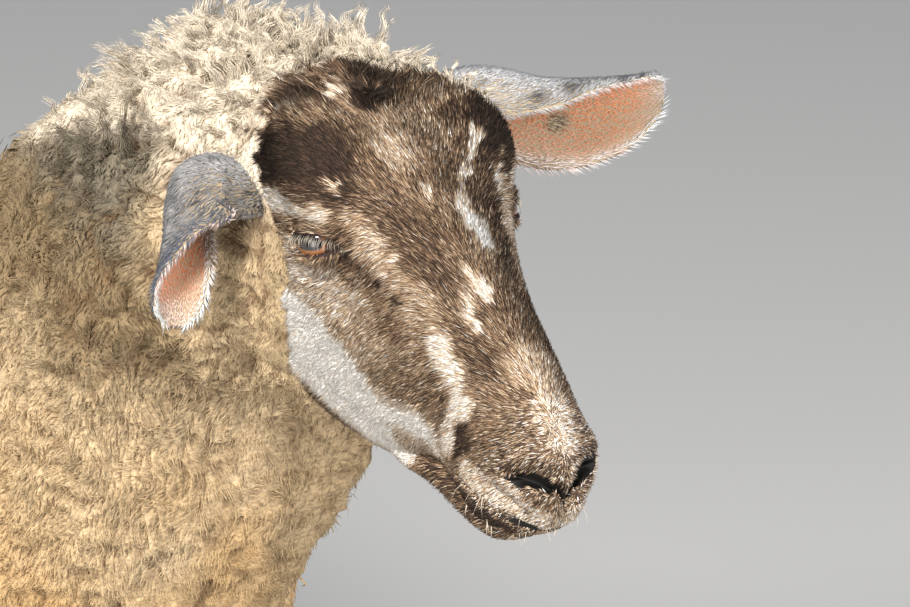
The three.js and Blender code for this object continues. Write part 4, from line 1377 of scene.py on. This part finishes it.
grid, _, _, woolly, _ = neck_bed
crest = smooth(grid_normals(grid)[..., 2], 0.55, 0.85) * smooth(grid[..., 0], 330, 420) * woolly
root, normal, chart = scatter(grid, crest, CREST_STAPLES)
border = smooth(np.where(root[:, 0] < 520, FAR_BEHIND, behind_border(to_head(root))), 0, 60)
length = (11 + 10 * border) * (1 + random.normal(0, 0.22, len(root)))
bend = 0.5 + 0.9 * random.random(len(root))
chart[:, 1] = BED_SEAM / BED_TO + chart[:, 1] * (1 - BED_SEAM / BED_TO)
root = root - normal * 2
points, faces, place, pattern = staples(
    root, normal, wool_fall(root, normal), length, 2 + 3.5 * border, bend, CREST_STEPS, CREST_STRANDS,
    STRAND_THICKNESS)
tone = 1 + random.normal(0, 0.05, len(points))
tip = np.repeat(wool_tint(root), CREST_STRANDS, 0)[:, None]
# Painted shade: each strand is darker towards its root, down to 0.7 of its tip's colour.
colour = 0.7 * tip + 0.3 * tip * np.minimum(place * 1.7, 1)[None, :, None]
colour = np.clip(colour * tone[:, None, None], 0, 1)
coat("crest_staples", points, faces, colour, np.repeat(chart, CREST_STRANDS, 0), wool_material, "fleece",
     pattern)

LIMB_WISPS = {"tail": 1300, "foreleg_left": 1100, "foreleg_right": 1100, "hindleg_left": 1700,
              "hindleg_right": 1700}
for name, count in LIMB_WISPS.items():
    grid = LIMBS[name]
    weight = smooth(grid[..., 2], LEG_WOOL_FROM - 10, LEG_WOOL_FROM + 30)
    root, normal, chart = scatter(grid, weight, count)
    fall = wool_fall(root, normal)
    lift = 0.15 + 0.3 * random.random((count, 1))
    length = 10 + 12 * smooth(root[:, 2], LEG_WOOL_FROM, LEG_WOOL_FULL)
    length = length * (1 + random.normal(0, 0.2, count))
    rise = unit(fall + normal * (lift + 0.2))
    fall = unit(fall + normal * (lift - 0.35))
    points, faces = tufts(root, normal, rise, fall, length, 3.4 + random.random(count))
    colour = np.clip(wool_tint(root) * (1 + random.normal(0, 0.10, (count, 1))), 0, 1)
    coat(f"{name}_wool", points, faces, colour, chart, wool_material, "fleece", points - root[:, None])

# ------------------------------------------------------ lashes and whiskers
# Lashes, most of them pale with dark roots, grow out of the upper lids and curve
# down before the eyes, and stiff whiskers are scattered over lips and chin.

LASHES = 56
WHISKERS = 36
LASH_PALE = np.array((0.66, 0.57, 0.47))
LASH_WIDTH = 0.2
PALE_SHARE = 0.75
PALE_LASH = 1.35
DARK_LASH = 0.12
# the share of a lash's colour at the points of its foot, its bend and its tip
LASH_SHADES = np.array((0.12, 0.12, 0.12, 0.6, 0.6, 0.6, 1))

for side in (-1, 1):
    place = np.linspace(-0.97, 0.86, LASHES) + random.normal(0, 0.01, LASHES)
    lengthwise = OPENING_AT[0] + OPENING_HALF * place
    across = OPENING_AT[1] + UPPER_LID_RISE * (1 - place ** 2) + 0.8 * random.random(LASHES)
    out = np.sqrt(np.maximum((EYEBALL + LID_THICKNESS) ** 2 - lengthwise ** 2 - across ** 2, 16))
    root = EYE + np.stack((lengthwise, across, out), -1) @ LID_AXES
    sway = (random.normal(0, 0.12, LASHES) + 0.15 * place)[:, None]
    rise = unit(0.6 * LIDS_OUT - 0.75 * LIDS_ACROSS + sway * LIDS_LENGTHWISE)
    fall = unit(0.1 * LIDS_OUT - 0.99 * LIDS_ACROSS + sway * LIDS_LENGTHWISE)
    length = 7.6 + random.normal(0, 0.9, LASHES)
    upright = np.broadcast_to(LIDS_ACROSS, root.shape)
    points, faces = tufts(root, upright, rise, fall, length, np.full(LASHES, LASH_WIDTH))
    points = from_head(points * (1, -side, 1))
    if side == 1:
        faces = faces[:, ::-1]
    paleness = np.where(random.random(LASHES) < PALE_SHARE, PALE_LASH, DARK_LASH)[:, None] * LASH_SHADES
    colour = paleness[..., None] * LASH_PALE
    chart = np.stack((0.3 + 0.4 * place, 0.5 + 0 * place), -1)
    coat("lashes_right" if side == -1 else "lashes_left", points, faces, colour, chart, hair_material, "face")

whisker_weight = smooth(head_points[..., 0], 205, 235) * smooth(-head_points[..., 2], 35, 50)
whisker_weight = whisker_weight * (1 - smooth(bare, 0.3, 0.6))
root, normal, chart = scatter(head_grid, whisker_weight, WHISKERS)
rise = laid(np.broadcast_to(DOWN, root.shape), normal, np.full(WHISKERS, 0.8), 0.25)
fall = laid(np.broadcast_to(DOWN, root.shape), normal, np.full(WHISKERS, 0.3), 0.25)
length = 12 + random.normal(0, 3, WHISKERS)
points, faces = tufts(root, normal, rise, fall, length, np.full(WHISKERS, LASH_WIDTH))
coat("whiskers", points, faces, LASH_PALE + 0 * root, chart, hair_material, "face")

# ------------------------------------------------------------------ hooves
# Two claws of grey-brown horn on each foot, flat below, ringed by growth, and
# two small round dewclaws behind the fetlock.

HOOF_LENGTH = 64
CLEFT = 4
# height, toe, heel and half width of each level of a claw
CLAW = [(0, 1, 63, 20), (3, 0, 64, 21), (18, 9, 62, 21), (36, 22, 60, 20)]
DEWCLAW_REACH = (9, 6, 9)
DEWCLAW_APART = 11
DEWCLAW_BELOW = 8
HORN = np.array((0.16, 0.12, 0.085))
HORN_PALE = np.array((0.40, 0.31, 0.22))


def claw_form(foot_x, foot_y, last, side, out):
    """A claw: a D outline at each level, flat along the cleft and round outside, from the sole to the
    coronet, with a small ridge for each month's growth."""
    t = np.linspace(0, len(CLAW) - 1, 46)[:, None]
    angle = np.linspace(0, np.pi, 40)[None]
    height, toe, heel, wide = np.moveaxis(along(CLAW, t + 0 * angle), -1, 0)
    ridge = 0.35 * np.sin(height * 1.5) * smooth(height, 2, 5)
    toe_x = foot_x + last + HOOF_LENGTH * 0.62
    round_x = toe_x - (toe + heel) / 2 + ((heel - toe) / 2 + ridge - 0.3) * np.cos(angle)
    cleft_y = side * (foot_y + out * CLEFT / 2)
    round_y = cleft_y + side * out * (wide + ridge) * np.sin(angle) ** 0.7
    flat_x = round_x[:, ::-1][:, 1:-1]
    round_part = np.stack((round_x, round_y, height), -1)
    flat_part = np.stack((flat_x, cleft_y + 0 * flat_x, height[:, 1:-1]), -1)
    return np.concatenate((round_part, flat_part), 1)


def dewclaw_form(middle):
    """A dewclaw: a small bean of horn."""
    polar = np.linspace(0.05, np.pi - 0.05, 20)[:, None]
    angle = full_turn(24)
    ball = np.stack((np.sin(polar) * np.cos(angle), np.sin(polar) * np.sin(angle),
                     np.cos(polar) + 0 * angle), -1)
    return middle + ball * DEWCLAW_REACH


horn_material = material("horn", 0.42)
for leg, (foot_x, foot_y, rows) in FEET.items():
    fetlock = rows[-3]
    for side, side_name in ((1, "left"), (-1, "right")):
        for out, out_name in ((-1, "inner"), (1, "outer")):
            dewclaw = np.array((foot_x + fetlock[1] - fetlock[2], side * (foot_y + out * DEWCLAW_APART),
                                fetlock[0] - DEWCLAW_BELOW))
            for kind, grid in (("claw", claw_form(foot_x, foot_y, rows[-1][1], side, out)),
                               ("dewclaw", dewclaw_form(dewclaw))):
                points, faces = tube(grid)
                tone = 0.5 + 0.5 * np.sin(points[:, 2:] * 0.5 + cloudy(points, 12, 61)[:, None])
                colour = blended(HORN, HORN_PALE, 0.5 * tone[:, 0])
                node = f"{leg}_{side_name}_{kind}_{out_name}"
                claw = new_piece(f"{node}_horn", in_place(points), faces, horn_material, colour)
                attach(claw, "root")
                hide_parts(node)

# ------------------------------------------------------------------- floor
# A plain pale floor and three large soft lights: the key from high on her
# right, a weak one low beside it and one from her left, in a pale room.

FLOOR_HALF = 12.0
FLOOR_COLOUR = (0.62, 0.61, 0.59, 1)
ROOM_COLOUR = (0.80, 0.84, 0.90, 1)
ROOM_STRENGTH = 0.42
floor_mesh = bpy.data.meshes.new("floor")
floor_corners = [(x * FLOOR_HALF, y * FLOOR_HALF, 0) for x, y in ((-1, -1), (1, -1), (1, 1), (-1, 1))]
floor_mesh.from_pydata(floor_corners, [], [(0, 1, 2, 3)])
floor = bpy.data.objects.new("floor", floor_mesh)
bpy.context.scene.collection.objects.link(floor)
floor_material = bpy.data.materials.new("pale_floor")
floor_material.use_nodes = True
floor_shader = floor_material.node_tree.nodes["Principled BSDF"]
floor_shader.inputs["Base Color"].default_value = FLOOR_COLOUR
floor_shader.inputs["Roughness"].default_value = 0.8
floor_mesh.materials.append(floor_material)


def soft_light(name, place, aim, size, watts, colour):
    """A square area light at a place, turned to its aim."""
    light = bpy.data.lights.new(name, "AREA")
    light.size = size
    light.energy = watts
    light.color = colour
    lamp = bpy.data.objects.new(name, light)
    lamp.location = place
    lamp.rotation_euler = (Vector(place) - Vector(aim)).to_track_quat("Z", "Y").to_euler()
    bpy.context.scene.collection.objects.link(lamp)


soft_light("key", (1.6, -2.9, 3.1), (0.3, 0, 0.7), 0.8, 245, (1.0, 0.965, 0.91))
soft_light("low", (0.7, -3.4, 0.9), (0.4, 0, 0.8), 1.6, 45, (1.0, 0.97, 0.93))
soft_light("fill", (3.4, 0.6, 1.6), (0.3, 0, 0.7), 2.0, 110, (0.95, 0.97, 1.0))
world = bpy.data.worlds.new("room")
world.use_nodes = True
world.node_tree.nodes["Background"].inputs["Color"].default_value = ROOM_COLOUR
world.node_tree.nodes["Background"].inputs["Strength"].default_value = ROOM_STRENGTH
bpy.context.scene.world = world
